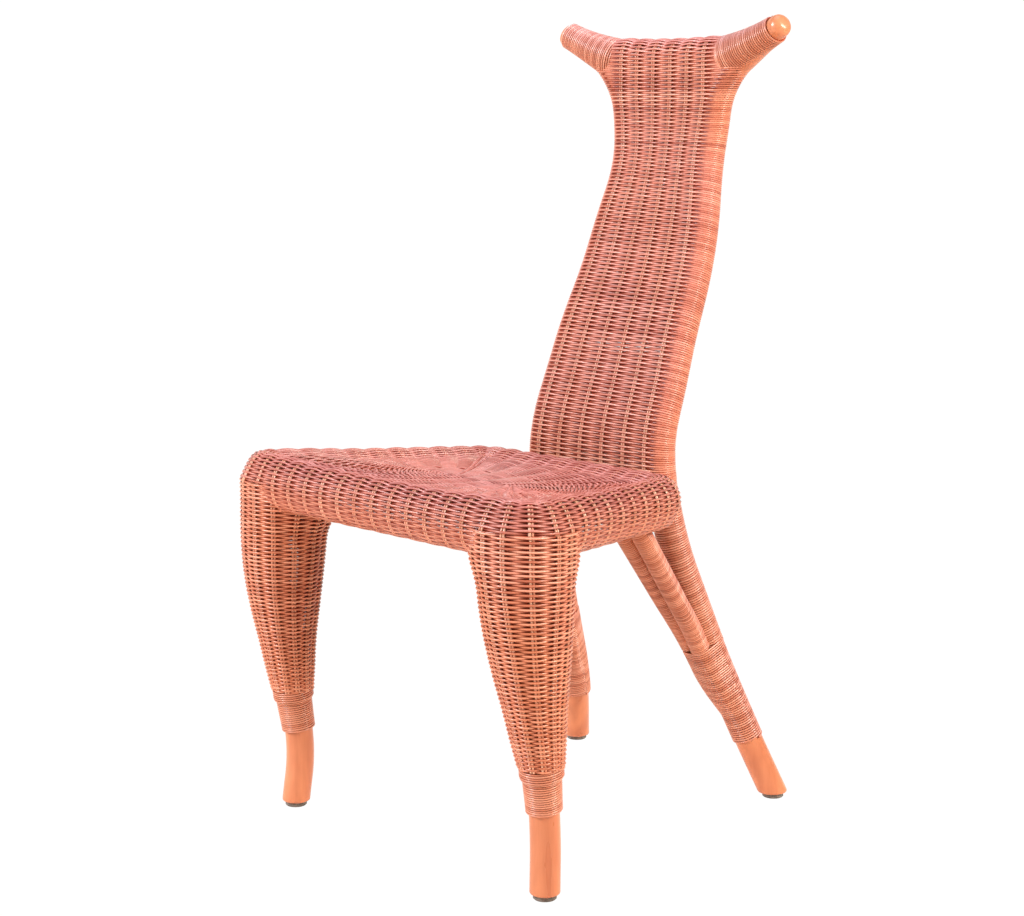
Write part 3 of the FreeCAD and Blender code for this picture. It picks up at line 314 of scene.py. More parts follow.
bare_pole = pole_finish("bare_pole", (0.58, 0.195, 0.085), (0.80, 0.325, 0.155), 0.26)
inner_pole = pole_finish("inner_pole", (0.34, 0.15, 0.065), (0.50, 0.25, 0.12), 0.45)
dowel_wood = pole_finish("dowel_wood", (0.50, 0.33, 0.17), (0.66, 0.47, 0.28), 0.5)
grey_glide = glide_finish()
for name, node in nodes.items():
    finish = inner_pole
    if name.endswith(("back_post", "leg_pole", "side_rail")):
        finish = bare_pole
    elif name.endswith("glide"):
        finish = grey_glide
    elif name == "frame_dowels":
        finish = dowel_wood
    node.data.materials.clear()
    node.data.materials.append(finish)
print("poles, rails, dowels and glides have their finish")

# %% [markdown]
# ## The weaving tree
# A weaver takes one long strand and passes it in front of one stake and behind the next, row after
# row. Modelling the strands by hand would take thousands of curves. Instead the tree lays straight
# lines in the flat pattern of a guide surface, looks up where each point is on that surface, and
# pushes it out or in as the stakes ask. The guide says how: its number `stake` counts the stakes
# along a row, and `swing` says how far the strand leaves the surface there. With no swing and a
# climb of one row for each turn, the same tree winds reed round a pole.

# %% Tree helpers
def new_tree(name, inputs):
    tree = bpy.data.node_groups.new(name, "GeometryNodeTree")
    sockets = [("Geometry", "INPUT", "Geometry")]
    sockets += [(label, "INPUT", kind) for label, kind in inputs]
    sockets += [("Geometry", "OUTPUT", "Geometry")]
    for label, way, kind in sockets:
        tree.interface.new_socket(name=label, in_out=way, socket_type="NodeSocket" + kind)
    given = add_node(tree, "NodeGroupInput").outputs
    return tree, given, add_node(tree, "NodeGroupOutput").inputs["Geometry"]


def stored(tree, geometry, name, kind, domain, value):
    """Keeps a value on the geometry under a name, for the finishes to read."""
    store = add_node(tree, "GeometryNodeStoreNamedAttribute", data_type=kind, domain=domain)
    for label, given in (("Geometry", geometry), ("Name", name), ("Value", value)):
        feed(tree, store.inputs[label], given)
    return store.outputs["Geometry"]


def reed_tubes(tree, given, curves):
    """The end of both trees: strands become round reed with a tint for each."""
    lot = add_node(tree, "GeometryNodeInputIndex")
    chance = add_node(tree, "FunctionNodeRandomValue", data_type="FLOAT")
    feed(tree, chance.inputs["ID"], lot.outputs["Index"])
    feed(tree, chance.inputs["Seed"], given["Seed"])
    ring = add_node(tree, "GeometryNodeCurvePrimitiveCircle", {
        "Resolution": given["Sides"], "Radius": given["Reed"]}, mode="RADIUS")
    tube = add_node(tree, "GeometryNodeCurveToMesh", {
        "Curve": stored(tree, curves, "tint", "FLOAT", "CURVE", chance.outputs[1]),
        "Profile Curve": ring.outputs["Curve"], "Fill Caps": True})
    shade = add_node(tree, "GeometryNodeSetShadeSmooth", {"Geometry": tube.outputs["Mesh"]})
    real = add_node(tree, "GeometryNodeRealizeInstances", {"Geometry": shade.outputs["Geometry"]})
    finish = add_node(tree, "GeometryNodeSetMaterial", {
        "Geometry": real.outputs["Geometry"], "Material": given["Finish"]})
    return finish.outputs["Geometry"]


# %% The weaving tree itself
STRAY_CIRCLE = 3.0
STRAY_PER_ROW = 0.31
STRAY_SCALE = 1.4
HOLLOW_SHADE_GAIN = 2.5
PATTERN_EDGE = 0.0002


def weaving_tree():
    tree, given, result = new_tree("reed_rows", [
        ("Rows", "Int"), ("Points", "Int"), ("Reed", "Float"), ("Swing", "Float"),
        ("Wander", "Float"), ("Climb", "Float"), ("Closed", "Bool"), ("Sides", "Int"),
        ("Seed", "Int"), ("Finish", "Material")])
    line = add_node(tree, "GeometryNodeCurvePrimitiveLine", {"End": (1, 0, 0)})
    even = add_node(tree, "GeometryNodeResampleCurve", {
        "Curve": line.outputs["Curve"], "Count": given["Points"]})
    copies = add_node(tree, "GeometryNodeDuplicateElements", domain="SPLINE")
    feed(tree, copies.inputs["Geometry"], even.outputs["Curve"])
    feed(tree, copies.inputs["Amount"], given["Rows"])
    row = copies.outputs["Duplicate Index"]
    along = add_node(tree, "GeometryNodeSplineParameter").outputs["Index"]
    looped = sums(tree, "DIVIDE", sums(tree, "ADD", along, 0.5), given["Points"])
    straight = sums(tree, "DIVIDE", along, sums(tree, "SUBTRACT", given["Points"], 1.0))
    pick = add_node(tree, "GeometryNodeSwitch", input_type="FLOAT")
    for label, value in (("Switch", given["Closed"]), ("False", straight), ("True", looped)):
        feed(tree, pick.inputs[label], value)
    u = pick.outputs["Output"]
    # A noise that comes back to itself after one turn moves each row a little off its place
    turn = sums(tree, "MULTIPLY", u, 2 * math.pi)
    row_shift = sums(tree, "MULTIPLY", row, STRAY_PER_ROW)
    spot = add_node(tree, "ShaderNodeCombineXYZ", {
        "X": sums(tree, "MULTIPLY", sums(tree, "COSINE", turn), STRAY_CIRCLE),
        "Y": sums(tree, "MULTIPLY", sums(tree, "SINE", turn), STRAY_CIRCLE),
        "Z": sums(tree, "ADD", row_shift, given["Seed"])})
    noise = add_node(tree, "ShaderNodeTexNoise", {
        "Vector": spot.outputs["Vector"], "Scale": STRAY_SCALE})
    offset = sums(tree, "SUBTRACT", noise.outputs["Fac"], 0.5)
    stray = sums(tree, "MULTIPLY", offset, given["Wander"])
    climb = sums(tree, "MULTIPLY", sums(tree, "SUBTRACT", u, 0.5), given["Climb"])
    level = sums(tree, "ADD", sums(tree, "ADD", row, 0.5), sums(tree, "ADD", climb, stray))
    v = sums(tree, "DIVIDE", level, given["Rows"])

    def held(value):
        inner = sums(tree, "MAXIMUM", value, PATTERN_EDGE)
        return sums(tree, "MINIMUM", inner, 1 - PATTERN_EDGE)

    flat = add_node(tree, "ShaderNodeCombineXYZ", {"X": held(u), "Y": held(v)})
    pattern = add_node(tree, "GeometryNodeInputNamedAttribute", data_type="FLOAT_VECTOR")
    pattern.inputs["Name"].default_value = "pattern"

    def on_guide(kind, value):
        look = add_node(tree, "GeometryNodeSampleUVSurface", {
            "Mesh": given["Geometry"], "Value": value,
            "Source UV Map": pattern.outputs["Attribute"],
            "Sample UV": flat.outputs["Vector"]}, data_type=kind)
        return look.outputs["Value"]

    def guide_number(name):
        number = add_node(tree, "GeometryNodeInputNamedAttribute", {"Name": name},
                          data_type="FLOAT")
        return on_guide("FLOAT", number.outputs["Attribute"])

    here = add_node(tree, "GeometryNodeInputPosition").outputs["Position"]
    normal = add_node(tree, "GeometryNodeInputNormal").outputs["Normal"]
    place = on_guide("FLOAT_VECTOR", here)
    out = on_guide("FLOAT_VECTOR", normal)
    # Each row is one stake out of step with the last, so over and under change places
    count = sums(tree, "ADD", guide_number("stake"), row)
    beat = sums(tree, "COSINE", sums(tree, "MULTIPLY", count, math.pi))
    swing = guide_number("swing")
    push = sums(tree, "MULTIPLY", sums(tree, "MULTIPLY", beat, swing), given["Swing"])
    # The depth is kept for the finishes, which paint shade into the hollows behind the stakes with
    # it
    gain = sums(tree, "MINIMUM", sums(tree, "MULTIPLY", swing, HOLLOW_SHADE_GAIN), 1.0)
    depth = sums(tree, "MULTIPLY", beat, gain)
    shift = add_node(tree, "ShaderNodeVectorMath", {"Vector": out, "Scale": push},
                     operation="SCALE")
    total = add_node(tree, "ShaderNodeVectorMath", {0: place, 1: shift.outputs["Vector"]},
                     operation="ADD")
    strands = stored(tree, copies.outputs["Geometry"], "depth", "FLOAT", "POINT", depth)
    # The guide's outside is kept too, for painted shade between rows and a painted sheen on what
    # faces up
    strands = stored(tree, strands, "outside", "FLOAT_VECTOR", "POINT", out)
    lay = add_node(tree, "GeometryNodeSetPosition", {
        "Geometry": strands, "Position": total.outputs["Vector"]})
    loop = add_node(tree, "GeometryNodeSetSplineCyclic", {
        "Geometry": lay.outputs["Geometry"], "Cyclic": given["Closed"]})
    feed(tree, result, reed_tubes(tree, given, loop.outputs["Geometry"]))
    return tree


def rod_tree():
    """Reed along given lines, for the stakes that the rows pass round."""
    tree, given, result = new_tree("reed_rods", [
        ("Reed", "Float"), ("Sides", "Int"), ("Seed", "Int"), ("Finish", "Material")])
    lines = add_node(tree, "GeometryNodeMeshToCurve", {"Mesh": given["Geometry"]})
    feed(tree, result, reed_tubes(tree, given, lines.outputs["Curve"]))
    return tree


reed_rows = weaving_tree()
reed_rods = rod_tree()
print("trees:", len(reed_rows.nodes), "and", len(reed_rods.nodes), "nodes")

# %% [markdown]
# ## Guide surfaces
# A guide is a grid of points, row by row, with a flat pattern from 0 to 1 each way. The strands
# find their place on it, and it is thrown away afterwards. Stakes run up the same grid, so they
# are read from it as lines.

# %% Guide helpers
# Faces round a strand, and how far a wound row strays, in rows
WOVEN_SIDES = 5
WOUND_SIDES = 6
WOUND_WANDER = 0.12


def guide_object(grid, stake, swing):
    """A surface from a grid of points (rows, columns, 3) in millimetres."""
    rows, columns = grid.shape[:2]
    mesh = bpy.data.meshes.new("guide")
    faces = []
    for r in range(rows - 1):
        for c in range(columns - 1):
            first = r * columns + c
            faces.append((first, first + 1, first + columns + 1, first + columns))
    mesh.from_pydata(metres(grid.reshape(-1, 3)), [], faces)
    corner = np.zeros(len(mesh.loops), dtype=np.int32)
    mesh.loops.foreach_get("vertex_index", corner)
    flat = np.zeros((len(corner), 2), dtype=np.float32)
    flat[:, 0] = (corner % columns) / (columns - 1)
    flat[:, 1] = (corner // columns) / (rows - 1)
    mesh.uv_layers.new(name="pattern").data.foreach_set("uv", flat.ravel())
    for label, values in (("stake", stake), ("swing", swing)):
        numbers = np.broadcast_to(np.asarray(values, dtype=np.float32), (rows, columns)).ravel()
        mesh.attributes.new(label, "FLOAT", "POINT").data.foreach_set("value", numbers)
    mesh.shade_smooth()
    return linked("guide", mesh)


def linked(name, mesh):
    """A mesh as an object at the origin of the scene."""
    thing = bpy.data.objects.new(name, mesh)
    scene.collection.objects.link(thing)
    return thing


def grown(guide, tree, values):
    """Runs a tree on a guide and keeps the result as a plain mesh."""
    modifier = guide.modifiers.new("reed", "NODES")
    modifier.node_group = tree
    for item in tree.interface.items_tree:
        if item.in_out == "INPUT" and item.name in values:
            modifier[item.identifier] = values[item.name]
    graph = bpy.context.evaluated_depsgraph_get()
    mesh = bpy.data.meshes.new_from_object(guide.evaluated_get(graph))
    guide.modifiers.remove(modifier)
    used = guide.data
    bpy.data.objects.remove(guide)
    bpy.data.meshes.remove(used)
    return mesh


def joined(name, meshes):
    """Several plain meshes as one object at the origin."""
    pieces = [linked(name + "_part", mesh) for mesh in meshes]
    if len(pieces) > 1:
        with bpy.context.temp_override(
                active_object=pieces[0], selected_editable_objects=pieces):
            bpy.ops.object.join()
    whole = pieces[0]
    whole.name = name
    whole.data.name = name
    return whole


def weave(grid, stake, swing, rows, points, seed, finish, reed=1.5, reach=2.2, wander=0.2):
    """Closed rows over and under the stakes. Reed is a strand's radius, in millimetres."""
    guide = guide_object(grid, stake, swing)
    return grown(guide, reed_rows, {
        "Rows": rows, "Points": points, "Reed": reed / 1000, "Swing": reach / 1000,
        "Wander": wander, "Climb": 0.0, "Closed": True, "Sides": WOVEN_SIDES,
        "Seed": seed, "Finish": finish})


def wind(grid, turns, points, seed, reed):
    """Turns of reed round a tube, each of which climbs by one row."""
    guide = guide_object(grid, 0.0, 0.0)
    return grown(guide, reed_rows, {
        "Rows": turns, "Points": points, "Reed": reed / 1000, "Swing": 0.0,
        "Wander": WOUND_WANDER, "Climb": 1.0, "Closed": False, "Sides": WOUND_SIDES,
        "Seed": seed, "Finish": wound_reed})


def rods(lines, seed, finish=stake_reed, reed=1.6):
    """Reed along lines of points in millimetres."""
    points = []
    edges = []
    for line in lines:
        start = len(points)
        points.extend(line)
        edges.extend((start + i, start + i + 1) for i in range(len(line) - 1))
    mesh = bpy.data.meshes.new("rods")
    mesh.from_pydata(metres(points), edges, [])
    return grown(linked("rods", mesh), reed_rods, {
        "Reed": reed / 1000, "Sides": WOVEN_SIDES, "Seed": seed, "Finish": finish})


def paired(grid, columns, apart):
    """Two lines side by side for each stake, from a guide's grid at fractional columns."""
    lines = []
    last = grid.shape[1] - 1
    for column in columns:
        low = int(column) % last
        share = column - int(column)
        line = grid[:, low] * (1 - share) + grid[:, low + 1] * share
        across = grid[:, low + 1] - grid[:, low]
        across /= np.linalg.norm(across, axis=1)[:, None]
        for side in (-1, 1):
            lines.append(line + across * side * apart / 2)
    return lines


def finish_piece(piece, slot, *covered):
    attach(piece, "root")
    if covered:
        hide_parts(*covered)
    print(piece.name, len(piece.data.polygons), "faces")


print("guide helpers ready")

# %% [markdown]
# ## Where the poles run
# The winding must sit on its pole, so the pole's centre line is read from the CAD node itself: a
# level slice through a bent pole is an oval, and the middle of the oval's box is on the centre
# line.

# %% Centre lines
POST_FOOT = 30.0
POST_TOP = 900.0
POST_SLICES = 175
TUBE_COLUMNS = 25


def centre_line(node, low, high, steps):
    """Centres of level slices through a pole, in the drawing's millimetres."""
    mesh = nodes[node].data
    points = np.zeros(len(mesh.vertices) * 3)
    mesh.vertices.foreach_get("co", points)
    points = points.reshape(-1, 3) * 1000 + np.array([0, DEPTH_SHIFT, 0])
    mesh.calc_loop_triangles()
    corners = np.zeros(len(mesh.loop_triangles) * 3, dtype=np.int32)
    mesh.loop_triangles.foreach_get("vertices", corners)
    triangles = points[corners.reshape(-1, 3)]
    centres = []
    for height in np.linspace(low, high, steps):
        cuts = []
        for a, b in ((0, 1), (1, 2), (2, 0)):
            start, end = triangles[:, a], triangles[:, b]
            rise = end[:, 2] - start[:, 2]
            crosses = (start[:, 2] - height) * (end[:, 2] - height) < 0
            share = (height - start[crosses, 2]) / rise[crosses]
            cuts.append(start[crosses] + (end[crosses] - start[crosses]) * share[:, None])
        ring = np.concatenate(cuts)
        centres.append((ring.min(axis=0) + ring.max(axis=0)) / 2)
    return np.array(centres)


def tube_grid(centres, radii):
    """Rings square to a centre line."""
    along = np.gradient(centres, axis=0)
    along /= np.linalg.norm(along, axis=1)[:, None]
    first = np.cross(along, np.array([0.0, 1.0, 0.0]))
    first /= np.linalg.norm(first, axis=1)[:, None]
    second = np.cross(along, first)
    angles = np.linspace(0, 2 * math.pi, TUBE_COLUMNS)
    radii = np.broadcast_to(np.asarray(radii, dtype=float), (len(centres),))
    ring = (first[:, None, :] * np.cos(angles)[None, :, None]
            + second[:, None, :] * np.sin(angles)[None, :, None])
    return centres[:, None, :] + ring * radii[:, None, None]


def length_of(points):
    """The length of a line of points."""
    return float(np.linalg.norm(np.diff(points, axis=0), axis=1).sum())


post_line = centre_line("left_back_post", POST_FOOT, POST_TOP, POST_SLICES)
print("post centre line:", len(post_line), "slices")

# %% [markdown]
# ## The woven seat
# The seat is one skin of weave: it starts under the rim, rolls up and over it, and dips into a
# shallow dish. The guide is drawn as the outline of the seat, moved inwards step by step. Past the
# rim the outline rounds off to an oval, which closes on a short line in the middle. About halfway
# in, half of the stakes end, as a weaver drops stakes when they come too close together.

# %% Seat outline
SEAT_FRONT = -75.0
SEAT_REAR = 300.0
RIM_HEIGHT = 65.0
ROLL_DEPTH = 24.0
FRONT_CORNER = np.array([212.0, -20.0])
REAR_CORNER = np.array([130.0, 240.0])
FRONT_RADIUS = 55.0
REAR_RADIUS = 60.0
SIDE_ANGLE = math.radians(16.45)
SLOPE = math.radians(3.2)
SLOPE_AXIS = -51.0
SEAT_LIFT = 425.5
# The strands' middle lies this far inside the drawn skin
SKIN_DEPTH = 3.4
# Stakes on each stretch of the edge, and steps of the guide from one stake to the next
HALF_REAR_STAKES = 4
REAR_CORNER_STAKES = 2
SIDE_STAKES = 9
FRONT_CORNER_STAKES = 3
FRONT_STAKES = 14
PER_STAKE = 6


def heading(angle):
    return np.array([math.cos(angle), math.sin(angle)])


def seat_outline():
    """The seat's edge and its way out, once round from the middle of the back."""
    flip = np.array([-1.0, 1.0])
    half = math.pi / 2
    side = math.pi - SIDE_ANGLE
    corners = (
        (REAR_CORNER_STAKES, REAR_CORNER * flip, REAR_RADIUS, half, side),
        (FRONT_CORNER_STAKES, FRONT_CORNER * flip, FRONT_RADIUS, side, math.pi + half),
        (FRONT_CORNER_STAKES, FRONT_CORNER, FRONT_RADIUS, -half, SIDE_ANGLE),
        (REAR_CORNER_STAKES, REAR_CORNER, REAR_RADIUS, SIDE_ANGLE, half))
    places = []
    outward = []

    def straight(count, start, end, way):
        for share in np.arange(count * PER_STAKE) / (count * PER_STAKE):
            places.append(start + (end - start) * share)
            outward.append(way)

    middle = np.array([0.0, SEAT_REAR])
    here, way = middle, np.array([0.0, 1.0])
    stretches = (HALF_REAR_STAKES, SIDE_STAKES, FRONT_STAKES, SIDE_STAKES)
    for count, (stakes, centre, radius, first, last) in zip(stretches, corners):
        straight(count, here, centre + heading(first) * radius, way)
        for angle in np.linspace(first, last, stakes * PER_STAKE, endpoint=False):
            places.append(centre + heading(angle) * radius)
            outward.append(heading(angle))
        here, way = centre + heading(last) * radius, heading(last)
    straight(HALF_REAR_STAKES, here, middle, way)
    places.append(middle)
    outward.append(way)
    return np.array(places), np.array(outward)


def on_seat(x, y, z):
    """The seat's own plane, tipped back a little and lifted to its height."""
    return np.stack([
        x,
        SLOPE_AXIS + (y - SLOPE_AXIS) * math.cos(SLOPE) + z * math.sin(SLOPE),
        SEAT_LIFT - (y - SLOPE_AXIS) * math.sin(SLOPE) + z * math.cos(SLOPE)], axis=-1)


seat_edge, seat_way = seat_outline()
SEAT_COLUMNS = len(seat_edge)
SEAT_STAKES = SEAT_COLUMNS // PER_STAKE
print("round the seat:", SEAT_STAKES, "stakes")

# %% [markdown]
# The rim is thick and calm underneath, lively on its front, and calmer again where it turns into
# the dish. Over each front leg two things happen: the lower half draws in behind the leg's sleeve,
# and the crest rises a little, as a knee does.

# %% Seat rim
REED_PITCH = 2.62
STAKE_APART = 3.3
RIM_REED = 1.56
RIM_RETURN = 7.0
RIM_RINGS = 49
ROLL_STEPS = 37
LIP_INSET = 50.0
LIP_DROP = 8.6
# Inset, and drop below the crest, from the top of the roll to the lip of the dish
RIM_SHOULDER = ((ROLL_DEPTH + RIM_RETURN, 0.9), (37.0, 3.4), (44.0, 6.4), (LIP_INSET, LIP_DROP))
KNEE_RISE = 6.5
KNEE_REACH = 75.0
KNEE_INSETS = (6.0, LIP_INSET)
# The edge belongs to a leg's corner up to the first of these, and no more past the second
LEG_EDGE = (0.3, 6.0)
LEG_TUCK = 6.0
TUCK_HEIGHTS = (-3.0, 0.5)
CORNER_SHOULDER = 4.0
# How much less the rows swing under the rim, on its top and behind a leg
CALM_BELOW = 0.70
BELOW_HEIGHTS = (-15.0, 9.0)
CALM_ABOVE = 0.4
ABOVE_INSETS = (10.0, 40.0)
CALM_TUCKED = 0.5


def rim_profile():
    """Inset and height of the rim's middle skin, from under the seat over the crest to the dish."""
    wide = ROLL_DEPTH - SKIN_DEPTH
    tall = RIM_HEIGHT / 2 - SKIN_DEPTH
    points = [(ROLL_DEPTH + RIM_RETURN, -tall + 1.0)]
    for angle in np.linspace(-90, 90, ROLL_STEPS):
        turn = math.radians(angle)
        points.append((ROLL_DEPTH - wide * math.cos(turn), tall * math.sin(turn)))
    points += [(inset, tall - drop) for inset, drop in RIM_SHOULDER]
    points = np.array(points)
    run = np.concatenate([[0], np.cumsum(np.linalg.norm(np.diff(points, axis=0), axis=1))])
    steps = np.linspace(0, run[-1], RIM_RINGS)
    return np.stack([np.interp(steps, run, points[:, k]) for k in (0, 1)], axis=1), run[-1]


def from_corners(near, away):
    """1 at the seat's front corners, falling to 0 at a distance from their centres."""
    far = [np.linalg.norm(seat_edge - FRONT_CORNER * np.array([side, 1.0]), axis=1)
           for side in (-1, 1)]
    return 1 - smooth(near, away, np.min(far, axis=0))


knee = from_corners(FRONT_RADIUS, FRONT_RADIUS + KNEE_REACH)


def seat_rim():
    profile, reach = rim_profile()
    stake = np.linspace(0, SEAT_STAKES, SEAT_COLUMNS) - 0.5
    at_leg = from_corners(FRONT_RADIUS + LEG_EDGE[0], FRONT_RADIUS + LEG_EDGE[1])
    grid = []
    swing = []
    for inset, height in profile:
        tucked = at_leg * (1 - smooth(*TUCK_HEIGHTS, height))
        rounding = math.sin(math.pi * max(0.0, height) / RIM_HEIGHT * 2) * (inset < ROLL_DEPTH)
        drawn_in = inset + LEG_TUCK * tucked + CORNER_SHOULDER * at_leg * rounding
        place = seat_edge - seat_way * drawn_in[:, None]
        rise = KNEE_RISE * float(smooth(*KNEE_INSETS, inset)) * (height > 0)
        grid.append(on_seat(place[:, 0], place[:, 1], height + rise * knee))
        below = CALM_BELOW * (1 - smooth(*BELOW_HEIGHTS, height))
        above = CALM_ABOVE * smooth(*ABOVE_INSETS, inset) if height > 0 else 0.0
        swing.append((1 - CALM_TUCKED * tucked) * (1 - below - above))
    grid = np.array(grid)
    rows = int(round(reach / REED_PITCH))
    rim = weave(
        grid, stake, np.array(swing), rows, SEAT_STAKES * PER_STAKE, 11, seat_reed, reed=RIM_REED)
    columns = [k * PER_STAKE + PER_STAKE // 2 for k in range(SEAT_STAKES)]
    # The stakes start two rings up, so that their ends don't show under the seat
    stakes = rods(paired(grid[2:], columns, STAKE_APART), 12)
    return joined("seat_rim_weave", [rim, stakes]), grid


seat_rim_weave, rim_grid = seat_rim()
finish_piece(seat_rim_weave, "woven_reed", "seat_weave")

# %% Seat dish
DISH_OVAL = (190.0, 130.0)
DISH_SPINE = np.array([62.0, 0.0])
DISH_RINGS = 13
DISH_SWING = 0.85
DISH_WANDER = 0.3
DISH_STAKE_REED = 1.2
DISH_STAKE_APART = 2.4
DISH_STAKE_DROP = 0.8
DISH_DIP = 2.4
DISH_DEPTH = 3.0
# Shares of the way from the lip to the middle
OVAL_BY = 0.7
DIP_BY = 0.4
KNEE_GONE_BY = 0.35
STAKES_HALVED_AT = 0.54
DISH_MIDDLE = 0.996
# First and last share, stakes (an even number, so that each row meets itself), rows and seed
DISH_PARTS = (
    (0.0, STAKES_HALVED_AT, SEAT_STAKES, 28, 21),
    (STAKES_HALVED_AT, DISH_MIDDLE, SEAT_STAKES // 2 - 1, 24, 22))


def seat_dish():
    middle = np.array([0.0, (SEAT_FRONT + SEAT_REAR) / 2])
    level = RIM_HEIGHT / 2 - SKIN_DEPTH - LIP_DROP
    away = seat_edge - seat_way * LIP_INSET - middle
    angle = np.arctan2(away[:, 1], away[:, 0])
    way = np.stack([np.cos(angle), np.sin(angle)], axis=1)
    oval = way / np.hypot(way[:, 0] / DISH_OVAL[0], way[:, 1] / DISH_OVAL[1])[:, None]
    spine = way * DISH_SPINE

    def ring(share):
        rounded = float(smooth(0.0, OVAL_BY, share))
        shape = away * (1 - rounded) + oval * rounded
        place = middle + shape * (1 - share) + spine * share
        dip = DISH_DIP * float(smooth(0.0, DIP_BY, share))
        sunk = dip + DISH_DEPTH * math.sin(math.pi / 2 * share)
        rise = KNEE_RISE * knee * (1 - float(smooth(0.0, KNEE_GONE_BY, share)))
        return on_seat(place[:, 0], place[:, 1], level - sunk + rise)

    parts = []
    for first, last, count, rows, seed in DISH_PARTS:
        grid = np.array([ring(share) for share in np.linspace(first, last, DISH_RINGS)])
        if first == 0.0:
            grid[0] = rim_grid[-1]
        stake = np.linspace(0, count, SEAT_COLUMNS) - 0.5
        parts.append(weave(
            grid, stake, DISH_SWING, rows, count * PER_STAKE, seed, seat_reed, wander=DISH_WANDER))
        columns = (np.arange(count) + 0.5) * (SEAT_COLUMNS - 1) / count
        under = grid - np.array([0.0, 0.0, DISH_STAKE_DROP])
        parts.append(rods(
            paired(under, columns, DISH_STAKE_APART), seed + 5, seat_reed, DISH_STAKE_REED))
    return joined("seat_dish_weave", parts)


seat_dish_weave = seat_dish()
finish_piece(seat_dish_weave, "woven_reed", "seat_weave")

# %% [markdown]
# ## The front legs
# Each front leg is a woven sleeve that swells into the corner of the seat, so leg and seat read as
# one body. The sleeve's rings grow by a sine from the ankle to the corner, and the last rings flare
# out on their inner side into the underside of the rim. The right leg is the left one mirrored,
# with its own seed.

# %% Leg sleeves
SLEEVE_FOOT = 154.0
SLEEVE_TOP = 423.5
SLEEVE_RINGS = 48
SLEEVE_RADIUS = 25.5
SLEEVE_SWELL = 30.3
SWELL_POWER = 1.15
SLEEVE_BOW = np.array([3.0, -2.0])
SLEEVE_CORNER = FRONT_CORNER + np.array([0.0, 1.0])
ANKLE_HEIGHTS = (145.0, 160.0)
# The sleeve widens a little again where it ends on the ankle
FOOT_FLARE = 3.2
FOOT_FLARE_TOP = 235.0
SEAT_UNDER = 391.3
SEAT_FLARE = 12.0
SEAT_FLARE_HEIGHTS = (SEAT_UNDER - 44.0, SEAT_UNDER + 6.0)
SEAT_FLARE_WAY = math.radians(148)
SEAT_FLARE_NARROWING = 0.75
LEG_STAKES = 12
LEG_COLUMNS = LEG_STAKES * PER_STAKE + 1
LEG_REACH = 2.0
FIRST_STAKE_TURN = math.radians(36.8)
# Near the seat the stakes beside the corner move apart to meet those of the rim
STAKE_SPREAD = math.radians(5.5)
SPREAD_HEIGHTS = (280.0, 400.0)
TIP_HEIGHTS = (320.0, 395.0)
FOOT_SWING = 0.55
FOOT_SWING_HEIGHT = 40


def sleeve_grid(side):
    """Rings of one sleeve, which tip with the seat as they come near it."""
    ankle = centre_line("front_left_leg_pole", *ANKLE_HEIGHTS, 3)[1][:2]
    even = np.linspace(0, 2 * math.pi, LEG_COLUMNS) - math.pi
    from_corner = even / math.radians(360 / LEG_STAKES)
    spread = np.interp(np.abs(from_corner), [0, 1, 4], [0, STAKE_SPREAD, 0]) * np.sign(from_corner)
    grid = []
    for height in np.linspace(SLEEVE_FOOT, SLEEVE_TOP, SLEEVE_RINGS):
        share = min(1.0, (height - SLEEVE_FOOT) / (SEAT_UNDER - SLEEVE_FOOT))
        ease = math.sin(math.pi / 2 * share)
        bow = SLEEVE_BOW * math.sin(math.pi * share)
        centre = ankle + (SLEEVE_CORNER - ankle) * ease + bow
        foot = FOOT_FLARE * (1 - float(smooth(SLEEVE_FOOT, FOOT_FLARE_TOP, height)))
        radius = SLEEVE_RADIUS + SLEEVE_SWELL * ease ** SWELL_POWER - SKIN_DEPTH + foot
        flare = SEAT_FLARE * float(smooth(*SEAT_FLARE_HEIGHTS, height)) ** 1.5
        angles = even + spread * float(smooth(*SPREAD_HEIGHTS, height)) - FIRST_STAKE_TURN
        aside = (angles - SEAT_FLARE_WAY + math.pi) % (2 * math.pi) - math.pi
        aside = np.clip(aside * SEAT_FLARE_NARROWING, -math.pi / 2, math.pi / 2)
        ring = radius + flare * np.maximum(0, np.cos(aside)) ** 0.7
        x = centre[0] + ring * np.cos(angles)
        y = centre[1] + ring * np.sin(angles)
        tip = math.tan(SLOPE) * float(smooth(*TIP_HEIGHTS, height))
        grid.append(np.stack([x * side, y, height - (y - SLEEVE_CORNER[1]) * tip], axis=1))
    grid = np.array(grid)
    return grid if side > 0 else grid[:, ::-1]


def leg_sleeve(name, side, seed):
    grid = sleeve_grid(side)
    stake = np.linspace(0, LEG_STAKES, LEG_COLUMNS)
    full = smooth(SLEEVE_FOOT, SLEEVE_FOOT + FOOT_SWING_HEIGHT, grid[:, 0, 2])
    swing = (FOOT_SWING + (1 - FOOT_SWING) * full)[:, None]
    rows = int(round(length_of(grid[:, LEG_COLUMNS // 2]) / REED_PITCH))
    sleeve = weave(grid, stake, swing, rows, LEG_COLUMNS - 1, seed, leg_reed, reach=LEG_REACH)
    columns = [k * PER_STAKE for k in range(LEG_STAKES)]
    stakes = rods(paired(grid, columns, STAKE_APART), seed + 1)
    piece = joined("front_%s_leg_sleeve" % name, [sleeve, stakes])
    finish_piece(piece, "woven_reed", "front_%s_leg_weave" % name)


leg_sleeve("left", 1, 31)
leg_sleeve("right", -1, 35)

# %% [markdown]
# ## The woven back
# The back is a flat tube of weave round the two posts. Six pairs of stakes stand on each face, and
# beyond the last pair the rows lie flat and bind tightly round the post, which is why the edge
# looks like winding. Near the top the posts lean out, so the rows stretch to stay round them, and
# then they close over a rail.

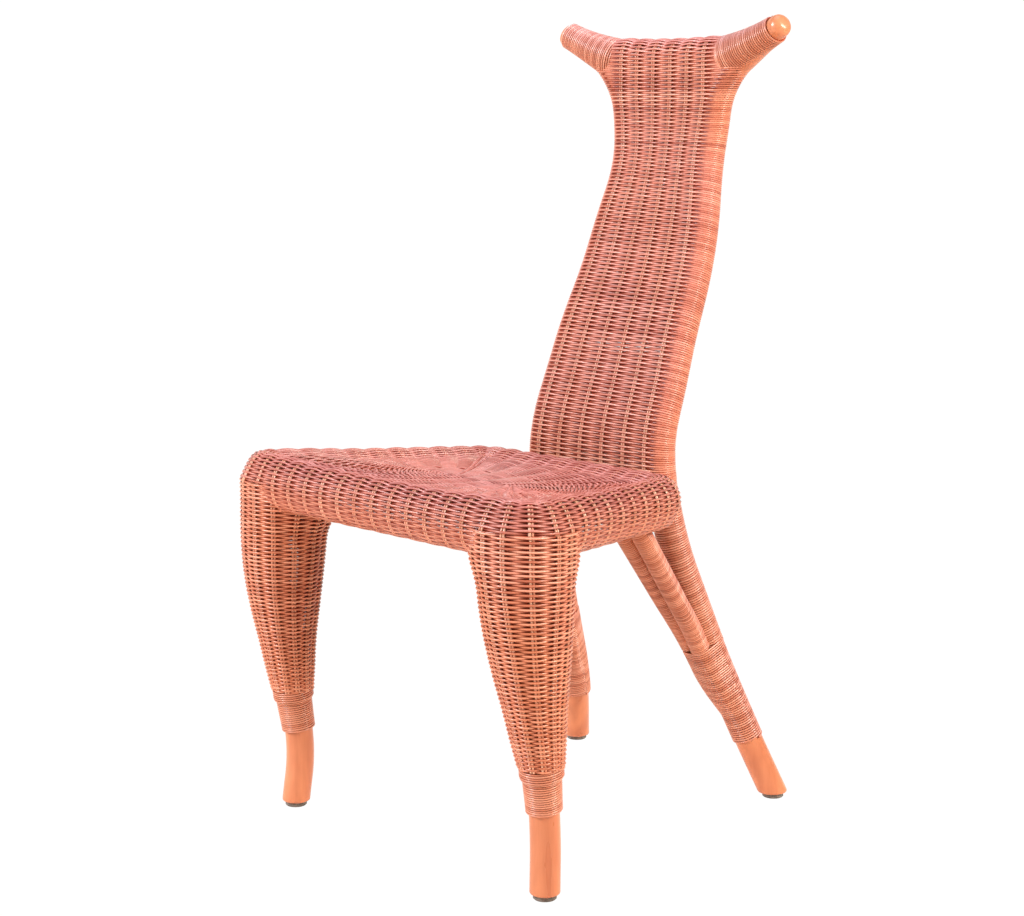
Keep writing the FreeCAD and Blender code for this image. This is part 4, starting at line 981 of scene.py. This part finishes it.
# %% Back guide
BACK_FOOT = 421.0
BACK_TOP = 959.0
BACK_RINGS = 76
TOP_RAIL = 936.0
WAIST = 838.0
WAIST_SPREAD = 69.5
CORNER_SPREAD = 104.0
BEND_FOOT = 849.7
BEND_END = 885.0
BEND_RADIUS = 100.0
MOST_LEAN = 0.72
LEAN_FADES = (922.0, TOP_RAIL)
RAKE_STEP = 4.0
RAKE_END = 920.0
POST_WRAP = 19.3
PANEL = 19.2
PANEL_EDGE = (0.55, 1.0)
STAKE_PLACES = (-1.0, -0.61, -0.205, 0.205, 0.61, 1.0)
FACE_STAKES = len(STAKE_PLACES)
STAKE_SPLAY = 0.75
POST_ROOM = 6.4
# Columns between the last stake and the post, as shares of the gap, and degrees round the post
GAP_SHARES = (0.35, 0.7, 1.0)
POST_STEP = 15
# Millimetres past the last stake over which the rows fall flat
GAP_CALM = 16
# Columns of one face, and those from the outside of a post to the first stake
FACE_COLUMNS = 48
FIRST_STAKE = 8
# Rings that close the top: share of the height over the rail, and share of the thickness
TOP_RINGS = ((0.3, 0.97), (0.6, 0.86), (0.85, 0.66), (1.0, 0.42), (1.05, 0.2), (1.06, 0.03))
TOP_DROP = 2.0
TOP_BOW = 4.0
TOP_BOW_LEVEL = 0.2
TOP_BOW_FOOT = 865.0


def post_at(height):
    """Half the spread of the posts, and their depth, at a height."""
    level = min(height, BEND_END)
    x = float(np.interp(level, post_line[:, 2], post_line[:, 0]))
    y = float(np.interp(level, post_line[:, 2], post_line[:, 1]))
    if height > BEND_END:
        here, there = [math.asin(min(1.0, (z - BEND_FOOT) / BEND_RADIUS))
                       for z in (BEND_END, height)]
        x += BEND_RADIUS * (math.cos(here) - math.cos(there))
    return min(CORNER_SPREAD, x), y


def back_row(height, thick):
    """One level of the back, once round: points with their stake number and swing."""
    spread, depth = post_at(height)
    middle = np.array([0.0, depth, height])
    stake_half = WAIST_SPREAD + (post_at(min(height, WAIST))[0] - WAIST_SPREAD) * STAKE_SPLAY
    stake_half = min(stake_half, spread - POST_ROOM)
    gap = max(0.5, spread - stake_half)
    lower = post_at(height - RAKE_STEP)[1]
    upper = post_at(min(height + RAKE_STEP, RAKE_END))[1]
    rise = math.hypot(upper - lower, 2 * RAKE_STEP)
    front = np.array([0.0, -2 * RAKE_STEP / rise, (upper - lower) / rise])
    lean = math.asin(min(MOST_LEAN, max(0.0, (height - BEND_FOOT) / BEND_RADIUS)))
    stretch = 1 + (1 / math.cos(lean) - 1) * (1 - float(smooth(*LEAN_FADES, height)))

    def on_panel(face, across):
        edge = float(smooth(*PANEL_EDGE, abs(across) / spread))
        apart = PANEL + (POST_WRAP - PANEL) * edge
        return middle + np.array([face * across, 0, 0]) + face * front * apart * thick

    def round_post(face, angle):
        turn = math.radians(90 - angle)
        out = np.array([stretch * math.cos(turn), 0, 0]) + front * math.sin(turn)
        return middle + face * np.array([spread, 0, 0]) + face * out * POST_WRAP * thick

    row = []
    for face, first in ((1, 0), (-1, FACE_STAKES)):
        last = first + FACE_STAKES - 1.0
        for k in range(FACE_STAKES - 1):
            for share in np.arange(PER_STAKE) / PER_STAKE:
                place = STAKE_PLACES[k] + (STAKE_PLACES[k + 1] - STAKE_PLACES[k]) * share
                row.append((*on_panel(face, place * stake_half), first + k + share, 1.0))
        row.append((*on_panel(face, stake_half), last, 1.0))
        for share in GAP_SHARES:
            swing = max(0.0, 1 - share * gap / GAP_CALM)
            row.append((*on_panel(face, stake_half + gap * share), last, swing))
        for angle in range(POST_STEP, 180, POST_STEP):
            held = last if angle < 90 else last + 1.0
            swing = max(0.0, 0.8 - 0.4 * min(angle, 180 - angle) / POST_STEP)
            row.append((*round_post(face, angle), held, swing))
        for share in reversed(GAP_SHARES):
            swing = max(0.0, 1 - share * gap / GAP_CALM)
            row.append((*on_panel(-face, -(stake_half + gap * share)), last + 1.0, swing))
    return np.array(row)


def back_grid():
    rows = [back_row(height, 1.0) for height in np.linspace(BACK_FOOT, TOP_RAIL, BACK_RINGS)]
    for lift, thick in TOP_RINGS:
        row = back_row(TOP_RAIL, thick)
        row[:, 2] += (BACK_TOP - TOP_DROP - TOP_RAIL) * lift
        rows.append(row)
    rows = np.array(rows)
    bow = (rows[:, :, 0] / CORNER_SPREAD) ** 2 - TOP_BOW_LEVEL
    rows[:, :, 2] += TOP_BOW * bow * smooth(TOP_BOW_FOOT, BACK_TOP, rows[:, :, 2])
    # The pattern starts at the outside of the right post, where no stake stands
    rows = np.roll(rows, FIRST_STAKE, axis=1)
    rows[:, :FIRST_STAKE, 3] -= 2 * FACE_STAKES
    closing = rows[:, :1].copy()
    closing[:, :, 3] += 2 * FACE_STAKES
    return np.concatenate([rows, closing], axis=1)


back_rows = back_grid()
print("back guide:", back_rows.shape)

# %% [markdown]
# The back is laid as two pieces, a lower and an upper one, which share one ring of the guide. Each
# has an even number of rows, so that over and under stay in step where they meet.

# %% Back weave
BACK_SPLIT = 40
BACK_POINTS = 150


def woven_back(name, part, seed):
    step = back_rows[1, 0, 2] - back_rows[0, 0, 2]
    rows = 2 * int(round((len(part) - 1) * step / REED_PITCH / 2))
    places, stake, swing = part[:, :, :3], part[:, :, 3], part[:, :, 4]
    body = weave(places, stake, swing, rows, BACK_POINTS, seed, woven_reed)
    columns = [FIRST_STAKE + face * FACE_COLUMNS + PER_STAKE * k
               for face in range(2) for k in range(FACE_STAKES)]
    piece = joined("back_%s_weave" % name, [body, rods(paired(places, columns, STAKE_APART), 57)])
    finish_piece(piece, "woven_reed", "back_weave")


woven_back("lower", back_rows[:BACK_SPLIT + 1], 51)
woven_back("upper", back_rows[BACK_SPLIT:], 52)

# %% [markdown]
# ## Windings
# Reed is wound tightly round the horns, the ankles, the rear legs and the thin braces. Here the
# weaving tree runs with no swing and climbs one row in each turn, so each row's end meets the next
# row's start and the strand reads as one long winding.

# %% Horns
HORN_BASE = np.array([91.0, 446.7, 929.7])
HORN_END = np.array([174.4, 440.1, 968.0])
HORN_RINGS = 12
HORN_TURNS = 30
HORN_REED = 1.54
HORN_BOW = 5.0
HORN_TIP_RADIUS = 16.0
HORN_SWELL = 11.2
# The first ring draws in, and the base is pressed flat in depth, to close on the back
HORN_DRAWN_IN = 5.0
HORN_PRESSED = 0.13
TURN_POINTS = 28


def horn(name, side):
    shares = np.linspace(0, 1, HORN_RINGS)
    centres = HORN_BASE + (HORN_END - HORN_BASE) * shares[:, None]
    centres[:, 0] *= side
    centres[:, 2] += HORN_BOW * (1 - shares) ** 2
    radii = HORN_TIP_RADIUS + HORN_SWELL * (1 - shares) ** 1.5
    radii[0] -= HORN_DRAWN_IN
    grid = tube_grid(centres, radii)
    pressed = 1 - HORN_PRESSED * (1 - smooth(0.0, 0.5, shares))[:, None]
    grid[:, :, 1] = centres[:, None, 1] + (grid[:, :, 1] - centres[:, None, 1]) * pressed
    winding = wind(grid, HORN_TURNS, TURN_POINTS, 61 + side, HORN_REED)
    piece = joined(name + "_horn_winding", [winding])
    finish_piece(piece, "reed_wrap", name + "_horn_wrap")


horn("left", 1)
horn("right", -1)

# %% Ankles
ANKLE_FOOT = 102.0
ANKLE_TOP = 156.0
ANKLE_SLICES = 28
ANKLE_TURNS = 20
ANKLE_REED = 1.24
ANKLE_RADIUS = 20.2
# A slow growth and then a small step out, up to the sleeve
ANKLE_GROWTH = 1.2
ANKLE_GROWTH_TOP = 140
ANKLE_STEP = 3.2
ANKLE_STEP_HEIGHTS = (139, 144)


def ankle(name):
    centres = centre_line("front_%s_leg_pole" % name, ANKLE_FOOT, ANKLE_TOP, ANKLE_SLICES)
    heights = centres[:, 2]
    radii = (ANKLE_RADIUS + ANKLE_GROWTH * smooth(ANKLE_FOOT, ANKLE_GROWTH_TOP, heights)
             + ANKLE_STEP * smooth(*ANKLE_STEP_HEIGHTS, heights))
    winding = wind(tube_grid(centres, radii), ANKLE_TURNS, TURN_POINTS, 71, ANKLE_REED)
    piece = joined("front_%s_ankle_winding" % name, [winding])
    finish_piece(piece, "reed_wrap", "front_%s_ankle_binding" % name)


ankle("left")
ankle("right")

# %% Rear legs and braces
POLE_PITCH = 3.0
POLE_REED = 1.42
POLE_SLICES = 60
POLE_TURN_POINTS = 22
# Foot and top of the winding, its radius and its seed
POST_WINDING = (205.0, 428.0, 19.0, 81)
BRACE_WINDING = (204.0, 388.0, 11.4, 82)


def pole_winding(piece_name, node, covered, low, high, radius, seed):
    centres = centre_line(node, low, high, POLE_SLICES)
    turns = int(round(length_of(centres) / POLE_PITCH))
    winding = wind(tube_grid(centres, radius), turns, POLE_TURN_POINTS, seed, POLE_REED)
    piece = joined(piece_name, [winding])
    finish_piece(piece, "reed_wrap", covered)


for name in ("left", "right"):
    pole_winding(name + "_post_winding", name + "_back_post", name + "_post_wrap", *POST_WINDING)
    for kind in ("outer", "inner"):
        brace = "%s_%s_brace" % (name, kind)
        pole_winding(brace + "_winding", brace, brace + "_wrap", *BRACE_WINDING)

# %% [markdown]
# A broad binding holds the feet of both braces to the rear leg. Its guide is a tight band round
# three circles, which draws in to the leg alone further down, where the braces have ended.

# %% Rear leg bindings
BINDING_FOOT = 80.0
BINDING_TOP = 209.0
BINDING_RINGS = 28
BINDING_COLUMNS = 41
BINDING_TURNS = 46
BINDING_TURN_POINTS = 34
BINDING_REED = 1.44
BRACE_END = 160.0
BRACE_SLICES = 14
BRACES_JOIN = (72.0, 178.0)
LEG_BAND = 19.9
BRACE_BAND = 12.2


def hull_ring(circles):
    """A tight band round several circles at one level, seen from the middle of the first."""
    angles = np.linspace(0, 2 * math.pi, 181)
    way = np.stack([np.cos(angles), np.sin(angles)], axis=1)
    reach = np.max([way @ centre + radius for centre, radius in circles], axis=0)
    middle = circles[0][0]
    ring = []
    for angle in np.linspace(0, 2 * math.pi, BINDING_COLUMNS):
        facing = way @ heading(angle)
        ahead = facing > 0.05
        limits = (reach - way @ middle)[ahead] / facing[ahead]
        ring.append(middle + heading(angle) * limits.min())
    return np.array(ring)


def squared(grid, centres):
    """Level rings slid along a leaning pole until they lie square to it."""
    lean = (centres[-1] - centres[0]) / (centres[-1] - centres[0])[2]
    slide = -((grid - centres[:, None, :]) @ lean) / (lean @ lean)
    return grid + slide[:, :, None] * lean


def rear_binding(name):
    leg_node = name + "_back_post"
    heights = np.linspace(BINDING_FOOT, BINDING_TOP, BINDING_RINGS)
    post = centre_line(leg_node, BINDING_FOOT, BINDING_TOP, BINDING_RINGS)
    leg = centre_line(leg_node, BRACE_END, BINDING_TOP, BRACE_SLICES)
    offsets = []
    for kind in ("outer", "inner"):
        brace = centre_line("%s_%s_brace" % (name, kind), BRACE_END, BINDING_TOP, BRACE_SLICES)
        apart = [np.interp(heights, brace[:, 2], (brace - leg)[:, k]) for k in (0, 1)]
        offsets.append(np.stack(apart, axis=1))
    grid = []
    for index, place in enumerate(post):
        share = float(smooth(*BRACES_JOIN, place[2]))
        circles = [(place[:2], LEG_BAND)]
        circles += [(place[:2] + offset[index] * share, BRACE_BAND) for offset in offsets]
        level = np.full((BINDING_COLUMNS, 1), place[2])
        grid.append(np.concatenate([hull_ring(circles), level], axis=1))
    grid = squared(np.array(grid), post)
    winding = wind(grid, BINDING_TURNS, BINDING_TURN_POINTS, 91, BINDING_REED)
    piece = joined(name + "_rear_leg_winding", [winding])
    finish_piece(piece, "reed_wrap", name + "_rear_leg_binding")


rear_binding("left")
rear_binding("right")

# %% [markdown]
# ## Floor and light
# The photograph has a white ground and soft light from all sides, with a strong lamp on each side
# of the camera. A large floor of warm paper bends up into a backdrop. To the camera it glows near
# white, as the photograph's ground does, while the light that bounces off it on to the chair is
# warm.

# %% Studio floor
FLOOR_NEAR = -3.0
FLOOR_FAR = 2.6
FLOOR_HALF_WIDTH = 6.0
FLOOR_DROP = 0.0003
COVE_RADIUS = 1.2
WALL_TOP = 5.0
# The way the camera looks, and the way across it
BACKWARD = np.array([-0.7191, 0.6949])
ACROSS = np.array([0.6949, 0.7191])
PAPER = (0.90, 0.66, 0.50, 1)
PAPER_ROUGHNESS = 0.9
GLOW = 1.04
GLOW_SHARE = 0.97
GLOW_IN_MIRROR = 0.5


def paper_finish():
    material, tree, shader = start_finish("studio_paper")
    shader.inputs["Base Color"].default_value = PAPER
    shader.inputs["Roughness"].default_value = PAPER_ROUGHNESS
    glow = add_node(tree, "ShaderNodeEmission")
    glow.inputs["Strength"].default_value = GLOW
    seen = add_node(tree, "ShaderNodeLightPath")
    mirrored = sums(tree, "MULTIPLY", seen.outputs["Is Glossy Ray"], GLOW_IN_MIRROR)
    both = sums(tree, "MAXIMUM", seen.outputs["Is Camera Ray"], mirrored)
    blend = add_node(tree, "ShaderNodeMixShader")
    feed(tree, blend.inputs[0], sums(tree, "MULTIPLY", both, GLOW_SHARE))
    feed(tree, blend.inputs[1], shader.outputs["BSDF"])
    feed(tree, blend.inputs[2], glow.outputs["Emission"])
    tree.links.new(blend.outputs["Shader"], tree.nodes["Material Output"].inputs["Surface"])
    return material


def studio_floor():
    profile = [(FLOOR_NEAR, 0.0), (FLOOR_FAR, 0.0)]
    for angle in np.linspace(0.1, math.pi / 2, 12):
        rise = COVE_RADIUS * (1 - math.cos(angle))
        profile.append((FLOOR_FAR + COVE_RADIUS * math.sin(angle), rise))
    profile.append((FLOOR_FAR + COVE_RADIUS, WALL_TOP))
    points = []
    for reach, height in profile:
        for side in (-FLOOR_HALF_WIDTH, FLOOR_HALF_WIDTH):
            spot = BACKWARD * reach + ACROSS * side
            points.append((spot[0], spot[1], height - FLOOR_DROP))
    faces = [(2 * k, 2 * k + 1, 2 * k + 3, 2 * k + 2) for k in range(len(profile) - 1)]
    mesh = bpy.data.meshes.new("studio_floor")
    mesh.from_pydata(points, [], faces)
    mesh.shade_smooth()
    mesh.materials.append(paper_finish())
    floor = bpy.data.objects.new("studio_floor", mesh)
    scene.collection.objects.link(floor)


studio_floor()
print("floor laid")

# %% Lamps and sky
# Place, point that it looks at, size, power and colour
LAMPS = {
    "key_lamp": ((-1.2, -2.7, 1.9), (0, 0, 0.5), 1.3, 108.0, (1.0, 0.95, 0.97)),
    "side_lamp": ((2.7, 0.9, 2.1), (0, 0, 0.5), 1.5, 118.0, (1.0, 0.89, 0.77)),
    "top_lamp": ((0.0, 0.3, 3.2), (0, 0, 0.4), 2.0, 14.0, (0.9, 0.86, 1.0)),
}
SKY_COLOUR = (1.0, 0.93, 0.90, 1)
SKY_STRENGTH = 0.36


def soft_lamp(name, place, target, size, power, colour):
    lamp = bpy.data.lights.new(name, "AREA")
    lamp.shape = "DISK"
    lamp.size = size
    lamp.energy = power
    lamp.color = colour
    holder = bpy.data.objects.new(name, lamp)
    holder.location = place
    way = np.array(target) - np.array(place)
    tilt = math.atan2(math.hypot(way[0], way[1]), -way[2])
    holder.rotation_euler = (tilt, 0, math.atan2(way[1], way[0]) - math.pi / 2)
    scene.collection.objects.link(holder)


for name, setting in LAMPS.items():
    soft_lamp(name, *setting)
world = bpy.data.worlds.new("studio_sky")
world.use_nodes = True
sky = world.node_tree.nodes["Background"]
sky.inputs["Color"].default_value = SKY_COLOUR
sky.inputs["Strength"].default_value = SKY_STRENGTH
scene.world = world
scene.view_settings.view_transform = "Standard"
print("studio ready")
